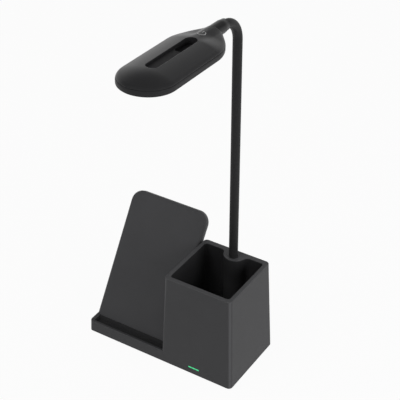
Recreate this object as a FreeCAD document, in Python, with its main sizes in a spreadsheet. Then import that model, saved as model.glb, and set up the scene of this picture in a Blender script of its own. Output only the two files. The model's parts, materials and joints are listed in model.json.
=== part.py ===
# Gooseneck desk lamp on a base with a pen cup and a leaning phone stand, as a parametric
# document.  Millimetres, +Z up, X to the right, the front is -Y.  The origin is the centre of
# the anti-slip mat on the surface that the lamp stands on.
import FreeCAD, Part
import math
import os
import re
import Sketcher

V = FreeCAD.Vector
Rotation = FreeCAD.Rotation
Placement = FreeCAD.Placement

# ---------------------------------------------------------------- driving dimensions

DIMENSIONS = [
    # base housing
    ("base_width", 164.0, "overall width at the foot"),
    ("base_depth", 79.4, "overall depth at the foot"),
    ("base_height", 100.0, "pen cup, from its lower rim to the top rim"),
    ("cup_width", 78.6, "pen cup at the foot"),
    ("deck_height", 12.0, "low deck beside the cup"),
    ("draft_angle", 2.04, "all outer walls lean inwards"),
    ("corner_radius", 4.0, "upright outer corners"),
    ("edge_radius", 0.7, "top edges"),
    ("rim_side", 3.8, "cup wall at the sides"),
    ("rim_front", 4.0, "cup wall at the front"),
    ("rim_back", 5.5, "cup wall at the back"),
    ("cup_corner", 3.0, "inner corners of the cup"),
    ("shell_wall", 2.6, "walls round the lower cavities"),
    ("floor_top", 18.0, "cup floor above the lower rim"),
    ("floor_thick", 2.2, "cup floor panel"),
    ("deck_skin", 2.2, "deck top over its cavity"),
    # phone ledge, in front of the leaning plate
    ("ledge_lip", 3.0, "front lip"),
    ("ledge_depth", 4.5, "below the deck top"),
    ("ledge_end", 4.6, "closed left end"),
    ("pad_thick", 1.0, "silicone liner in the ledge"),
    ("pad_round", 0.4, "edges of the liner"),
    # underside
    ("mat_thick", 0.8, "anti-slip mat below the lower rim"),
    ("mat_inset", 5.0, "mat edge to housing edge"),
    ("mat_corner", 6.0, "mat corners"),
    ("cover_thick", 2.2, "bottom cover"),
    ("fit_gap", 0.2, "assembly gap per side"),
    ("post_radius", 3.0, "screw posts"),
    ("pilot_radius", 1.35, "screw holes in the posts"),
    ("screw_radius", 1.3, "self-tapping screw"),
    ("head_radius", 2.5, "screw head"),
    ("head_thick", 1.3, "screw head"),
    ("screw_length", 6.0, "screw shank"),
    ("board_thick", 1.6, "circuit boards"),
    # arm
    ("arm_x", 44.0, "arm axis"),
    ("arm_y", 26.4, "arm axis"),
    ("sleeve_radius", 4.3, "silicone sleeve"),
    ("core_radius", 3.2, "steel gooseneck core"),
    ("core_bore", 1.7, "wire channel"),
    ("boss_radius", 11.5, "half-round arm boss in the cup"),
    ("boss_setback", 4.2, "boss centre behind the arm axis"),
    ("boss_fillet", 4.5, "boss to back wall"),
    ("socket_depth", 35.0, "arm socket below the rim"),
    ("nut_well_radius", 6.5, "lock nut well below the socket"),
    ("stud_radius", 3.0, "hollow stud of the arm"),
    ("web_thick", 3.0, "between socket and nut well"),
    ("washer_thick", 1.0, "washer under the lock nut"),
    ("nut_height", 5.0, "lock nut"),
    ("nut_clear", 0.7, "lock nut and washer to their well"),
    ("bend_start", 326.3, "start of the top bend above the lower rim"),
    ("bend_radius", 22.0, "top bend"),
    ("head_pitch", 1.9, "nose of the head above level"),
    # bending stations of the gooseneck
    ("first_station", 124.2, "lowest station above the lower rim"),
    ("station_pitch", 30.0, "distance between stations"),
    ("bend_station", 45.0, "station on the top bend, from its start"),
    ("cap_radius", 7.0, "ball end of a link about its station"),
    ("dish_radius", 7.3, "hollow end of the next link"),
    # phone stand, along and across its slope
    ("plate_lean", 32.3, "from the vertical"),
    ("plate_foot", 5.85, "front plane behind the front of the foot"),
    ("plate_left", 81.5, "left edge from the middle"),
    ("plate_right", 3.3, "right edge at the deck"),
    ("plate_flare", 2.3, "right edge leans out"),
    ("plate_top", 145.9, "top edge from the lower rim"),
    ("plate_thick", 8.0, "plate"),
    ("plate_corner", 12.0, "top corners"),
    ("plate_front_edge", 3.0, "front edge rounding"),
    ("plate_back_edge", 2.0, "back edge rounding"),
    ("plate_wall", 2.2, "shell"),
    ("plate_cover", 1.8, "back cover"),
    ("plate_cover_inset", 2.2, "back cover from the outline"),
    ("plate_corner_inner", 9.0, "corners of the back cover and the space"),
    ("stand_screw", 4.2, "screw shank in the stand"),
    ("coil_thick", 1.2, "charging coil"),
    ("ferrite_thick", 0.8, "ferrite sheet behind the coil"),
    # lamp head, in its own frame: underside plane, neck end, axis of symmetry
    ("head_half_width", 24.9, "straight sides"),
    ("head_crown", 12.4, "crown above the underside"),
    ("head_side_top", 3.3, "upright edge band before the crown starts"),
    ("crown_turn", 23.3, "slope where the crown's flat arc meets its side arc"),
    ("head_edge", 1.2, "underside edge rounding"),
    ("head_seam", 5.4, "parting line above the underside"),
    ("seam_gap", 0.3, "shadow gap at the parting line"),
    ("nose_centre", 110.2, "in front of the neck end"),
    ("shoulder_radius", 38.0, "plan outline, from side to shoulder"),
    ("shoulder_angle", 41.0, "plan outline, straight stretch"),
    ("neck_blend", 3.0, "plan outline, from shoulder to neck"),
    ("neck_start", 13.3, "parallel neck, in front of the neck end"),
    ("neck_radius", 6.2, "round neck mouth"),
    ("mouth_slant", 36.0, "mouth plane leans forward over the collar"),
    ("mouth_front", 14.6, "middle of the mouth plane in front of the neck end"),
    ("head_wall", 2.0, "shell"),
    ("slot_radius", 5.5, "half width of the long slot"),
    ("slot_front", 104.4, "front end centre"),
    ("slot_back", 51.5, "back end centre"),
    ("slot_step", 65.0, "end of the shallow floor"),
    ("slot_shallow", 2.5, "shallow floor below the crown"),
    ("slot_deep", 6.4, "deep floor below the crown"),
    ("slot_skirt", 3.5, "shell turned down round the slot"),
    ("collar_radius", 5.3, "metal collar in the neck mouth"),
    ("collar_length", 26.0, "from the neck end into the head"),
    ("window_radius", 19.4, "half width of the light window"),
    ("window_back", 66.0, "back end centre of the light window"),
    ("window_flange", 3.0, "diffuser behind the window's edge"),
    ("diffuser_thick", 1.4, "flange of the diffuser"),
    ("reflector_height", 1.3, "spacer ring between diffuser and board"),
]

doc = FreeCAD.newDocument("gooseneck_desk_lamp")
dims = doc.addObject("Spreadsheet::Sheet", "dims")
for row, (alias, value, note) in enumerate(DIMENSIONS, start=1):
    dims.set("A%d" % row, alias)
    dims.set("B%d" % row, str(value))
    dims.set("C%d" % row, note)
    dims.setAlias("B%d" % row, alias)
doc.recompute()

parts = {}


def size(alias):
    """The value of one driving dimension."""
    return float(dims.get(alias))


def cell(formula):
    """A formula over the sheet: every name with an underscore is one of its cells."""
    return re.sub(r"\b[a-z]+(?:_[a-z0-9]+)+\b", lambda name: "dims." + name.group(), str(formula))


def bind(obj, formulas):
    """Tie properties of an object to formulas over the sheet."""
    for prop, formula in formulas.items():
        obj.setExpression(prop, cell(formula))
    return obj


def at(obj, x, y, z):
    """Tie the place of an object to formulas over the sheet."""
    return bind(obj, {"Placement.Base.x": x, "Placement.Base.y": y, "Placement.Base.z": z})


def keep(node, obj):
    """Name a finished sub-part after its node."""
    obj.Label = node
    parts[node] = obj
    return obj


# ---------------------------------------------------------------- primitives and booleans

def box(name, length, width, height, x, y, z):
    """A box from its lowest corner."""
    obj = doc.addObject("Part::Box", name)
    bind(obj, {"Length": length, "Width": width, "Height": height})
    return at(obj, x, y, z)


def cylinder(name, radius, height, x, y, z):
    """An upright cylinder from the centre of its foot."""
    obj = doc.addObject("Part::Cylinder", name)
    bind(obj, {"Radius": radius, "Height": height})
    return at(obj, x, y, z)


def sphere(name, radius, place):
    """A ball about a place."""
    obj = doc.addObject("Part::Sphere", name)
    bind(obj, {"Radius": radius})
    obj.Placement = place
    return obj


def cut(name, base, tools):
    """The base less every tool, one after another."""
    for count, tool in enumerate(tools, start=1):
        step = doc.addObject("Part::Cut", "%s_cut_%d" % (name, count))
        step.Base = base
        step.Tool = tool
        base = step
    return base


def fuse(name, shapes):
    obj = doc.addObject("Part::MultiFuse", name)
    obj.Shapes = shapes
    obj.Refine = True
    return obj


def common(name, shapes):
    obj = doc.addObject("Part::MultiCommon", name)
    obj.Shapes = shapes
    return obj


def compound(name, shapes):
    obj = doc.addObject("Part::Compound", name)
    obj.Links = shapes
    return obj


def round_edges(name, base, radius, chosen):
    """Fillet the edges of a shape for which chosen(edge) is true."""
    doc.recompute()
    obj = doc.addObject("Part::Fillet", name)
    obj.Base = base
    numbers = [n for n, edge in enumerate(base.Shape.Edges, start=1) if chosen(edge)]
    obj.Edges = [(n, size(radius), size(radius)) for n in numbers]
    return obj


def upright(edge):
    """True for an edge that runs straight up, give or take the draft."""
    heights = [vertex.Z for vertex in edge.Vertexes]
    return max(heights) - min(heights) > 0.99 * edge.Length


def across(edge):
    """True for an edge that runs straight along the width."""
    return abs(edge.Vertexes[0].X - edge.Vertexes[-1].X) > 0.99 * edge.Length


def level(edge, height):
    """True for an edge that lies at one height."""
    return all(abs(vertex.Z - height) < 0.01 for vertex in edge.Vertexes)


def rounded_box(name, length, width, height, x, y, z, radius):
    """A box with rounded upright edges."""
    block = box(name + "_block", length, width, height, x, y, z)
    return round_edges(name, block, radius, upright)


# ---------------------------------------------------------------- bodies and sketches

def new_body(name):
    return doc.addObject("PartDesign::Body", name)


def new_sketch(body, name, role, offset):
    """A sketch on one of the body's own origin planes, moved along its normal."""
    sketch = body.newObject("Sketcher::SketchObject", name)
    plane = [item for item in body.Origin.OriginFeatures if item.Role == role][0]
    sketch.AttachmentSupport = [(plane, "")]
    sketch.MapMode = "FlatFace"
    sketch.setExpression("AttachmentOffset.Base.z", cell(offset))
    return sketch


def locate(sketch, geometry, point, x, y):
    """Fix a point of the sketch at formulas over the sheet."""
    here = sketch.getPoint(geometry, point)
    for kind, value, formula in (("DistanceX", here.x, x), ("DistanceY", here.y, y)):
        index = sketch.addConstraint(Sketcher.Constraint(kind, -1, 1, geometry, point, value))
        sketch.setExpression("Constraints[%d]" % index, cell(formula))


def add_polygon(sketch, corners):
    """A closed outline of straight lines through corners given as formulas."""
    count = len(corners)
    turn = 2 * math.pi / count
    start = [V(math.cos(turn * k + 0.1), math.sin(turn * k + 0.1), 0) for k in range(count)]
    for k in range(count):
        sketch.addGeometry(Part.LineSegment(start[k], start[(k + 1) % count]))
    for k in range(count):
        sketch.addConstraint(Sketcher.Constraint("Coincident", k, 2, (k + 1) % count, 1))
    for k, (x, y) in enumerate(corners):
        locate(sketch, k, 1, x, y)


def add_rectangle(sketch, left, right, front, back):
    add_polygon(sketch, [(left, front), (right, front), (right, back), (left, back)])


def add_feature(body, kind, name, sketch, formulas, backwards=False):
    """A pad or pocket from a sketch."""
    feature = body.newObject("PartDesign::" + kind, name)
    feature.Profile = sketch
    feature.Reversed = backwards
    bind(feature, formulas)
    sketch.Visibility = False
    return feature


def add_fillet(body, name, base, radius, chosen):
    """A fillet on the edges of a feature for which chosen(edge) is true."""
    doc.recompute()
    feature = body.newObject("PartDesign::Fillet", name)
    names = ["Edge%d" % n for n, edge in enumerate(base.Shape.Edges, start=1) if chosen(edge)]
    feature.Base = (base, names)
    bind(feature, {"Radius": radius})
    return feature


def add_draft(body, name, base):
    """Lean the upright walls of a block inwards from its foot, by the mould's draft angle."""
    doc.recompute()
    walls, foot = [], []
    for n, face in enumerate(base.Shape.Faces, start=1):
        rise = face.normalAt(0, 0).z
        if abs(rise) < 0.5:
            walls.append("Face%d" % n)
        elif rise < 0:
            foot.append("Face%d" % n)
    feature = body.newObject("PartDesign::Draft", name)
    feature.Base = (base, walls)
    feature.NeutralPlane = (base, foot)
    return bind(feature, {"Angle": "draft_angle"})


def drafted_body(name, left, right, front, back, foot, height):
    """A body with one block whose walls lean inwards; returns the body and the draft."""
    body = new_body(name)
    sketch = new_sketch(body, name + "_outline", "XY_Plane", foot)
    add_rectangle(sketch, left, right, front, back)
    pad = add_feature(body, "Pad", name + "_pad", sketch, {"Length": height})
    return body, add_draft(body, name + "_draft", pad)


def drafted_block(name, left, right, front, back, foot, height, radius):
    """A block with leaning walls and rounded upright corners."""
    body, draft = drafted_body(name, left, right, front, back, foot, height)
    add_fillet(body, name + "_corners", draft, radius, upright)
    return body


# ---------------------------------------------------------------- base

CUP_LEFT = "base_width / 2 - cup_width"
CUP_RIGHT = "base_width / 2"
FRONT = "-base_depth / 2"
BACK = "base_depth / 2"
DRAFT = "tan(draft_angle * 1 deg)"
RIM_Z = "mat_thick + base_height"
DECK_Z = "mat_thick + deck_height"
LEDGE_Z = "mat_thick + deck_height - ledge_depth"
COVER_TOP = "mat_thick + cover_thick"
FLOOR_Z = "mat_thick + floor_top"
SOCKET_Z = "mat_thick + base_height - socket_depth"
WEB_Z = "mat_thick + base_height - socket_depth - web_thick"

DECK_POSTS = [(-74.0, -9.0), (-74.0, 31.0), (-3.0, -9.0), (-3.0, 31.0)]
CUP_POSTS = [(12.5, -31.0), (73.0, -31.0), (12.5, 31.0), (73.0, 31.0)]
STANDOFFS = [(20.0, -10.0), (63.0, -10.0), (20.0, 24.0), (63.0, 24.0)]
STANDOFF_HEIGHT = 2.0
WIRE_HOLE = (-20.0, -24.3)
WIRE_HOLE_RADIUS = 2.2

# power inlet in the back wall
INLET_X = 30.0
INLET_HEIGHT = 3.2
INLET_WIDTH = 9.0
INLET_LENGTH = 7.4
INLET_WALL = 0.3
INLET_CLEAR = 0.3
TONGUE_WIDTH = 6.7
TONGUE_LENGTH = 5.4
TONGUE_THICK = 0.7
INLET_Z = COVER_TOP + " + %s + board_thick + %s" % (STANDOFF_HEIGHT, INLET_HEIGHT / 2)

# indicator light in the front wall
LIGHT_X = 41.0
LIGHT_Z = 7.6
LIGHT_LENGTH = 12.0
LIGHT_HEIGHT = 1.3
LIGHT_CLEAR = 0.15
FLANGE_EDGE = 2.0
FLANGE_HEIGHT = 4.0
FLANGE_THICK = 1.5
FLANGE_Y = FRONT + " + shell_wall + 0.35"
CHIP_DEPTH = 1.2
CHIP_GAP = 0.6
CHIP_PITCH = 4.0

# boards: width, depth and lowest corner; blocks: width, depth, height and lowest corner;
# rounds: radius, height and centre
MAIN_SHEET = (50.0, 50.5, 16.5, -14.0)
MAIN_BLOCKS = [(7.0, 7.0, 1.0, 36.0, 4.0), (9.0, 9.0, 1.0, 22.0, -8.0)]
MAIN_ROUNDS = [(5.0, 4.0, 52.0, 20.0), (3.2, 6.5, 58.0, 2.0)]
BALLAST = (58.0, 38.0, 6.5, -67.5, -7.0)


def cup_block():
    """Drafted outer form of the pen cup, with a rounded rim."""
    body, draft = drafted_body("cup_block", CUP_LEFT, CUP_RIGHT, FRONT, BACK, "mat_thick",
                               "base_height")
    corners = add_fillet(body, "cup_corners", draft, "corner_radius", upright)
    rim = size("mat_thick") + size("base_height")
    add_fillet(body, "rim_edge", corners, "edge_radius", lambda edge: level(edge, rim))
    return body


def deck_block():
    """Drafted low deck, which runs on under the cup, with the ledge trough along its front."""
    body, draft = drafted_body("deck_block", "-base_width / 2", CUP_LEFT + " + 8", FRONT, BACK,
                               "mat_thick", "deck_height")
    corners = add_fillet(body, "deck_corners", draft, "corner_radius",
                         lambda edge: upright(edge) and edge.CenterOfMass.x < 0)
    top = size("mat_thick") + size("deck_height")
    add_fillet(body, "deck_edge", corners, "edge_radius",
               lambda edge: level(edge, top) and edge.CenterOfMass.x < 0)
    trough = new_sketch(body, "ledge_outline", "YZ_Plane", CUP_LEFT + " + 0.1")
    lip = "ledge_lip - base_depth / 2"
    lean = "tan(plate_lean * 1 deg)"
    back = "plate_foot - base_depth / 2 + plate_thick / cos(plate_lean * 1 deg) + fit_gap"
    add_polygon(trough, [
        (lip, LEDGE_Z),
        (back + " + (deck_height - ledge_depth) * " + lean, LEDGE_Z),
        (back + " + (deck_height + 2) * " + lean, DECK_Z + " + 2"),
        (lip, DECK_Z + " + 2")])
    add_feature(body, "Pocket", "ledge_pocket", trough,
                {"Length": "base_width - cup_width - ledge_end + 0.1"})
    return body


def cup_space():
    """The inside of the pen cup, which stands clear of the half-round boss for the arm."""
    space = drafted_block(
        "cup_space_block",
        CUP_LEFT + " + rim_side", CUP_RIGHT + " - rim_side",
        FRONT + " + rim_front", BACK + " - rim_back",
        "mat_thick", "base_height + 5", "cup_corner")
    column = cylinder("boss_round", "boss_radius", "base_height + 10",
                      "arm_x", "arm_y + boss_setback", 0)
    root = box("boss_root", "2 * boss_radius", 20, "base_height + 10",
               "arm_x - boss_radius", "arm_y + boss_setback", 0)
    space = cut("cup_space_sharp", space, [column, root])
    wall_y = size("arm_y") + size("boss_setback") - 1
    reach = size("boss_radius") + 1
    return round_edges(
        "cup_space", space, "boss_fillet",
        lambda edge: (upright(edge) and edge.CenterOfMass.y > wall_y
                      and abs(edge.CenterOfMass.x - size("arm_x")) < reach))


def arm_bores():
    """Socket for the sleeve, hole for the stud, and the lock nut's well."""
    return [
        cylinder("arm_socket", "sleeve_radius + 0.1", "socket_depth + 1",
                 "arm_x", "arm_y", SOCKET_Z),
        cylinder("stud_hole", "stud_radius + fit_gap", "web_thick + 2",
                 "arm_x", "arm_y", WEB_Z + " - 1"),
        cylinder("nut_well", "nut_well_radius", "base_height",
                 "arm_x", "arm_y", WEB_Z + " - base_height"),
    ]


def lower_spaces():
    """Cavities that open downwards: under the cup, under the deck and under the ledge."""
    well = drafted_block("cup_well", CUP_LEFT + " + shell_wall", CUP_RIGHT + " - shell_wall",
                         FRONT + " + shell_wall", BACK + " - shell_wall",
                         "mat_thick", "floor_top", "cup_corner")
    deck = drafted_block("deck_space", "-base_width / 2 + shell_wall", CUP_LEFT,
                         "ledge_lip - base_depth / 2 + 22.5", BACK + " - shell_wall",
                         "mat_thick", "deck_height - deck_skin", "edge_radius")
    ledge = drafted_block("ledge_space", "-base_width / 2 + shell_wall", CUP_LEFT,
                          FRONT + " + shell_wall", "ledge_lip - base_depth / 2 + 25",
                          "mat_thick", "deck_height - ledge_depth - deck_skin", "edge_radius")
    recess = rounded_box("cover_recess", "base_width - 2 * shell_wall",
                         "base_depth - 2 * shell_wall", "cover_thick",
                         "-base_width / 2 + shell_wall", FRONT + " + shell_wall", "mat_thick",
                         "edge_radius")
    passage = box("wire_passage", 12, 18, 5, CUP_LEFT + " - 5", -9, COVER_TOP)
    return [well, deck, ledge, recess, passage]


def wall_openings():
    """The power inlet's mouth, the light pipe's window and the hole for the stand's wires."""
    inlet = bar_along_y("inlet_opening", INLET_WIDTH + 2 * INLET_CLEAR, 6,
                        INLET_HEIGHT + 2 * INLET_CLEAR, INLET_X, "base_depth / 2 - 5", INLET_Z)
    window = bar_along_y("light_opening", LIGHT_LENGTH + 2 * LIGHT_CLEAR, 5,
                         LIGHT_HEIGHT + 2 * LIGHT_CLEAR, LIGHT_X, "-base_depth / 2 - 1", LIGHT_Z)
    hole = cylinder("stand_wire_hole", WIRE_HOLE_RADIUS, 12, WIRE_HOLE[0], WIRE_HOLE[1], 3)
    return [inlet, window, hole]


def bar_along_y(name, width, length, height, x, y, z):
    """A bar with well rounded long edges; x and z are its middle, y its front end."""
    block = box(name + "_block", width, length, height,
                "%s - %s" % (x, width / 2), y, "%s - %s" % (z, height / 2))
    doc.recompute()
    bar = doc.addObject("Part::Fillet", name)
    bar.Base = block
    radius = height * 0.45
    bar.Edges = [(n, radius, radius) for n, edge in enumerate(block.Shape.Edges, start=1)
                 if abs(edge.BoundBox.YLength - edge.Length) < 0.01]
    return bar


def posts(name, places, radius, low, length):
    """Upright round posts at the given places."""
    return [cylinder("%s_%d" % (name, n), radius, length, x, y, low)
            for n, (x, y) in enumerate(places, start=1)]


def base_housing():
    block = fuse("housing_block", [cup_block(), deck_block()])
    shell = cut("open_block", block, [cup_space()] + lower_spaces())
    solid = fuse("housing_with_posts", [shell] + posts(
        "deck_post", DECK_POSTS, "post_radius", COVER_TOP,
        "deck_height - deck_skin - cover_thick + 0.5"))
    holes = posts("deck_pilot", DECK_POSTS, "pilot_radius", COVER_TOP, "screw_length + 0.5")
    return cut("base_housing", solid, arm_bores() + wall_openings() + holes)


def cup_floor():
    """Panel that closes the cup from below, on four screw posts."""
    rise = "(floor_top - floor_thick) * " + DRAFT
    inset = "shell_wall + fit_gap + " + rise
    panel = drafted_block("floor_panel", CUP_LEFT + " + " + inset, CUP_RIGHT + " - (%s)" % inset,
                          FRONT + " + " + inset, BACK + " - (%s)" % inset,
                          FLOOR_Z + " - floor_thick", "floor_thick", "cup_corner")
    length = "floor_top - floor_thick - cover_thick + 0.5"
    solid = fuse("floor_with_posts", [panel] + posts(
        "cup_post", CUP_POSTS, "post_radius", COVER_TOP, length))
    wires = cylinder("floor_wire_hole", "stud_radius", "floor_thick + 2",
                     "arm_x", "arm_y", FLOOR_Z + " - floor_thick - 1")
    holes = posts("cup_pilot", CUP_POSTS, "pilot_radius", COVER_TOP, "screw_length + 0.5")
    return cut("cup_floor", solid, [wires] + holes)


def bottom_cover():
    """Cover plate with counterbored screw holes and standoffs for the main board."""
    inset = "shell_wall + fit_gap"
    plate = rounded_box("cover_plate", "base_width - 2 * (%s)" % inset,
                        "base_depth - 2 * (%s)" % inset, "cover_thick",
                        "-base_width / 2 + " + inset, FRONT + " + " + inset, "mat_thick",
                        "edge_radius")
    solid = fuse("cover_with_standoffs", [plate] + posts(
        "standoff", STANDOFFS, "post_radius", COVER_TOP + " - 0.5", STANDOFF_HEIGHT + 0.5))
    places = DECK_POSTS + CUP_POSTS
    holes = posts("cover_hole", places, "screw_radius + fit_gap", "mat_thick - 1", 5)
    sinks = posts("cover_sink", places, "head_radius + fit_gap", "mat_thick - 1", "head_thick + 1")
    return cut("bottom_cover", solid, holes + sinks)


def screw(name, x, y, head_z, length="screw_length"):
    """A pan head self-tapping screw, driven upwards."""
    crown = doc.addObject("Part::Cone", name + "_crown")
    bind(crown, {"Radius1": "head_radius - edge_radius", "Radius2": "head_radius",
                 "Height": "head_thick / 2"})
    at(crown, x, y, head_z)
    rim = cylinder(name + "_rim", "head_radius", "head_thick / 2", x, y,
                   "%s + head_thick / 2" % head_z)
    shank = cylinder(name + "_shank", "screw_radius", length + " + head_thick", x, y, head_z)
    return fuse(name, [crown, rim, shank])


def bottom_screws():
    screws = [screw("bottom_screw_%d" % n, x, y, "mat_thick")
              for n, (x, y) in enumerate(DECK_POSTS + CUP_POSTS, start=1)]
    return compound("bottom_screws", screws)


def anti_slip_mat():
    return rounded_box("anti_slip_mat", "base_width - 2 * mat_inset", "base_depth - 2 * mat_inset",
                       "mat_thick", "-base_width / 2 + mat_inset", FRONT + " + mat_inset", 0,
                       "mat_corner")


def ballast_plate():
    """Steel plate under the deck."""
    width, depth, height, x, y = BALLAST
    return rounded_box("ballast_plate", width, depth, height, x, y, COVER_TOP, "mat_corner")


def main_board():
    """Charger and lamp driver board on the cover's standoffs, with its largest components."""
    low = COVER_TOP + " + %s" % STANDOFF_HEIGHT
    high = low + " + board_thick"
    width, depth, x, y = MAIN_SHEET
    shapes = [box("main_sheet", width, depth, "board_thick", x, y, low)]
    for n, (width, depth, height, x, y) in enumerate(MAIN_BLOCKS, start=1):
        shapes.append(box("main_block_%d" % n, width, depth, height, x, y, high))
    for n, (radius, height, x, y) in enumerate(MAIN_ROUNDS, start=1):
        shapes.append(cylinder("main_round_%d" % n, radius, height, x, y, high))
    return fuse("main_board", shapes)


def power_socket():
    """USB type C receptacle with its tongue."""
    shell = bar_along_y("socket_shell", INLET_WIDTH, INLET_LENGTH, INLET_HEIGHT, INLET_X,
                        "base_depth / 2 - 8", INLET_Z)
    space = bar_along_y("socket_space", INLET_WIDTH - 2 * INLET_WALL, INLET_LENGTH,
                        INLET_HEIGHT - 2 * INLET_WALL, INLET_X, "base_depth / 2 - 6.8", INLET_Z)
    tongue = box("socket_tongue", TONGUE_WIDTH, TONGUE_LENGTH, TONGUE_THICK,
                 INLET_X - TONGUE_WIDTH / 2, "base_depth / 2 - 7.2",
                 INLET_Z + " - %s" % (TONGUE_THICK / 2))
    return fuse("power_socket", [cut("socket_tube", shell, [space]), tongue])


def light_plate(name, length, left, y, thick):
    """An upright plate behind the indicator's window, level with the flange."""
    return box(name, length, thick, FLANGE_HEIGHT, left, y, LIGHT_Z - FLANGE_HEIGHT / 2)


def indicator_light_pipe():
    """Clear bar in the front wall's slot: its flange has an ear at each end for the board."""
    bar = bar_along_y("pipe_bar", LIGHT_LENGTH, 4.6, LIGHT_HEIGHT, LIGHT_X,
                      FRONT + " + 0.3", LIGHT_Z)
    length = LIGHT_LENGTH + 2 * FLANGE_EDGE
    left = LIGHT_X - length / 2
    flange = light_plate("pipe_flange", length, left, FLANGE_Y, FLANGE_THICK)
    depth = FLANGE_THICK + CHIP_GAP + CHIP_DEPTH
    ears = [light_plate("pipe_ear_%d" % n, FLANGE_EDGE, x, FLANGE_Y, depth)
            for n, x in enumerate((left, left + length - FLANGE_EDGE), start=1)]
    return fuse("indicator_light_pipe", [bar, flange] + ears)


def indicator_led():
    """Three small green lights on a board that stands on the light pipe's ears."""
    length = LIGHT_LENGTH + 2 * FLANGE_EDGE
    chip_y = "%s + %s" % (FLANGE_Y, FLANGE_THICK + CHIP_GAP)
    board = light_plate("light_board", length, LIGHT_X - length / 2,
                        "%s + %s" % (chip_y, CHIP_DEPTH), "board_thick")
    chips = [box("light_chip_%d" % n, 1.6, CHIP_DEPTH + 0.1, 0.9, LIGHT_X - 0.8 + n * CHIP_PITCH,
                 chip_y, LIGHT_Z - 0.45) for n in (-1, 0, 1)]
    return fuse("indicator_led", [board] + chips)


def plate_front(height, ahead):
    """Where the plate's front stands at a height, less a distance ahead of it."""
    return "plate_foot - base_depth / 2 + (%s - mat_thick) * %s - (%s) / cos(plate_lean * 1 deg)" % (
        height, "tan(plate_lean * 1 deg)", ahead)


def ledge_pad():
    """Soft liner that a phone stands on: the trough's floor and, at its back, the plate's foot."""
    body = new_body("ledge_pad")
    outline = new_sketch(body, "pad_outline", "YZ_Plane", "-base_width / 2 + ledge_end + fit_gap")
    front = FRONT + " + ledge_lip + fit_gap"
    floor = LEDGE_Z + " + pad_thick"
    add_polygon(outline, [
        (front, LEDGE_Z), (plate_front(LEDGE_Z, "fit_gap"), LEDGE_Z),
        (plate_front(DECK_Z, "fit_gap"), DECK_Z),
        (plate_front(DECK_Z, "fit_gap + pad_thick"), DECK_Z),
        (plate_front(floor, "fit_gap + pad_thick"), floor), (front, floor)])
    pad = add_feature(body, "Pad", "pad_strip", outline,
                      {"Length": "base_width - cup_width - ledge_end - 3 * fit_gap"})
    top = size("mat_thick") + size("deck_height")
    low = top - size("ledge_depth") + size("pad_thick")
    add_fillet(body, "pad_edges", pad, "pad_round",
               lambda edge: across(edge) and (level(edge, low) or level(edge, top)))
    return body


# ---------------------------------------------------------------- phone stand

STAND_POSTS = [(-70.0, 32.0), (-8.0, 32.0), (-70.0, 132.0), (-8.0, 132.0)]
COIL_PLACE = (-38.0, 78.0)
STAND_SHEET = (40.0, 20.0, -58.0, 30.0)
STAND_FOOT_INSET = 3.0
STAND_BLOCKS = [(6.0, 6.0, -50.0, 37.0)] + [(4.0, 3.0, -38.0, 33.0 + 5.0 * n) for n in range(3)]
STAND_BLOCK_HEIGHT = 0.9
STAND_PLACE = Placement(
    V(0, size("plate_foot") - size("base_depth") / 2, size("mat_thick")),
    Rotation(V(1, 0, 0), 90 - size("plate_lean")))
TURN = "plate_thick * tan(plate_lean * 1 deg)"


def slope(height):
    """Distance along the front plane of the plate to a height above the lower rim."""
    return "(%s) / cos(plate_lean * 1 deg)" % height


def add_side_pocket(body, name, low, high, offset, length, backwards):
    """Cut a slab across the plate between two levels, from a plane along its width."""
    sketch = new_sketch(body, name + "_outline", "YZ_Plane", offset)
    drop = "(plate_thick + 2) * tan(plate_lean * 1 deg)"
    lift = "2 * tan(plate_lean * 1 deg)"
    add_polygon(sketch, [
        (low + " - 5 - " + lift, "2"), (high + " - " + lift, "2"),
        (high + " + " + drop, "-plate_thick - 2"), (low + " - 5", "-plate_thick - 2")])
    return add_feature(body, "Pocket", name, sketch, {"Length": length}, backwards)


def plate_block():
    """Leaning plate: flat front, wide top corners, rounded edges and a foot cut level."""
    body = new_body("plate_block")
    outline = new_sketch(body, "plate_outline", "XY_Plane", "-plate_thick")
    add_polygon(outline, [
        ("-plate_left", "0"), ("plate_right", "0"),
        ("plate_right", slope("deck_height + 2")),
        ("plate_right + plate_flare", "plate_top"), ("-plate_left", "plate_top")])
    pad = add_feature(body, "Pad", "plate_pad", outline, {"Length": "plate_thick"})
    top = size("plate_top")
    corners = add_fillet(body, "plate_corners", pad, "plate_corner",
                         lambda edge: upright(edge) and edge.CenterOfMass.y > top - 1)
    front = add_fillet(body, "plate_front_edges", corners, "plate_front_edge",
                       lambda edge: level(edge, 0) and edge.CenterOfMass.y > 1)
    back = -size("plate_thick")
    add_fillet(body, "plate_back_edges", front, "plate_back_edge",
               lambda edge: level(edge, back) and edge.CenterOfMass.y > 1)
    add_side_pocket(body, "foot_cut", "0", slope("deck_height - ledge_depth"),
                    "-base_width / 2", "base_width", True)
    add_side_pocket(body, "foot_left", "0", slope("deck_height + fit_gap"),
                    "-base_width / 2 + ledge_end + fit_gap", "ledge_end + 1", False)
    return body


def plate_panel(name, inset, low, high):
    """A slab that follows the plate's outline at an inset, between two levels of its depth."""
    foot = slope("deck_height + 1") + " + " + TURN
    return rounded_box(name, "plate_left + plate_right - 2 * (%s)" % inset,
                       "plate_top - (%s) - 2 * (%s)" % (foot, inset), "%s - (%s)" % (high, low),
                       "-plate_left + " + inset, foot + " + " + inset, low, "plate_corner_inner")


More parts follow.
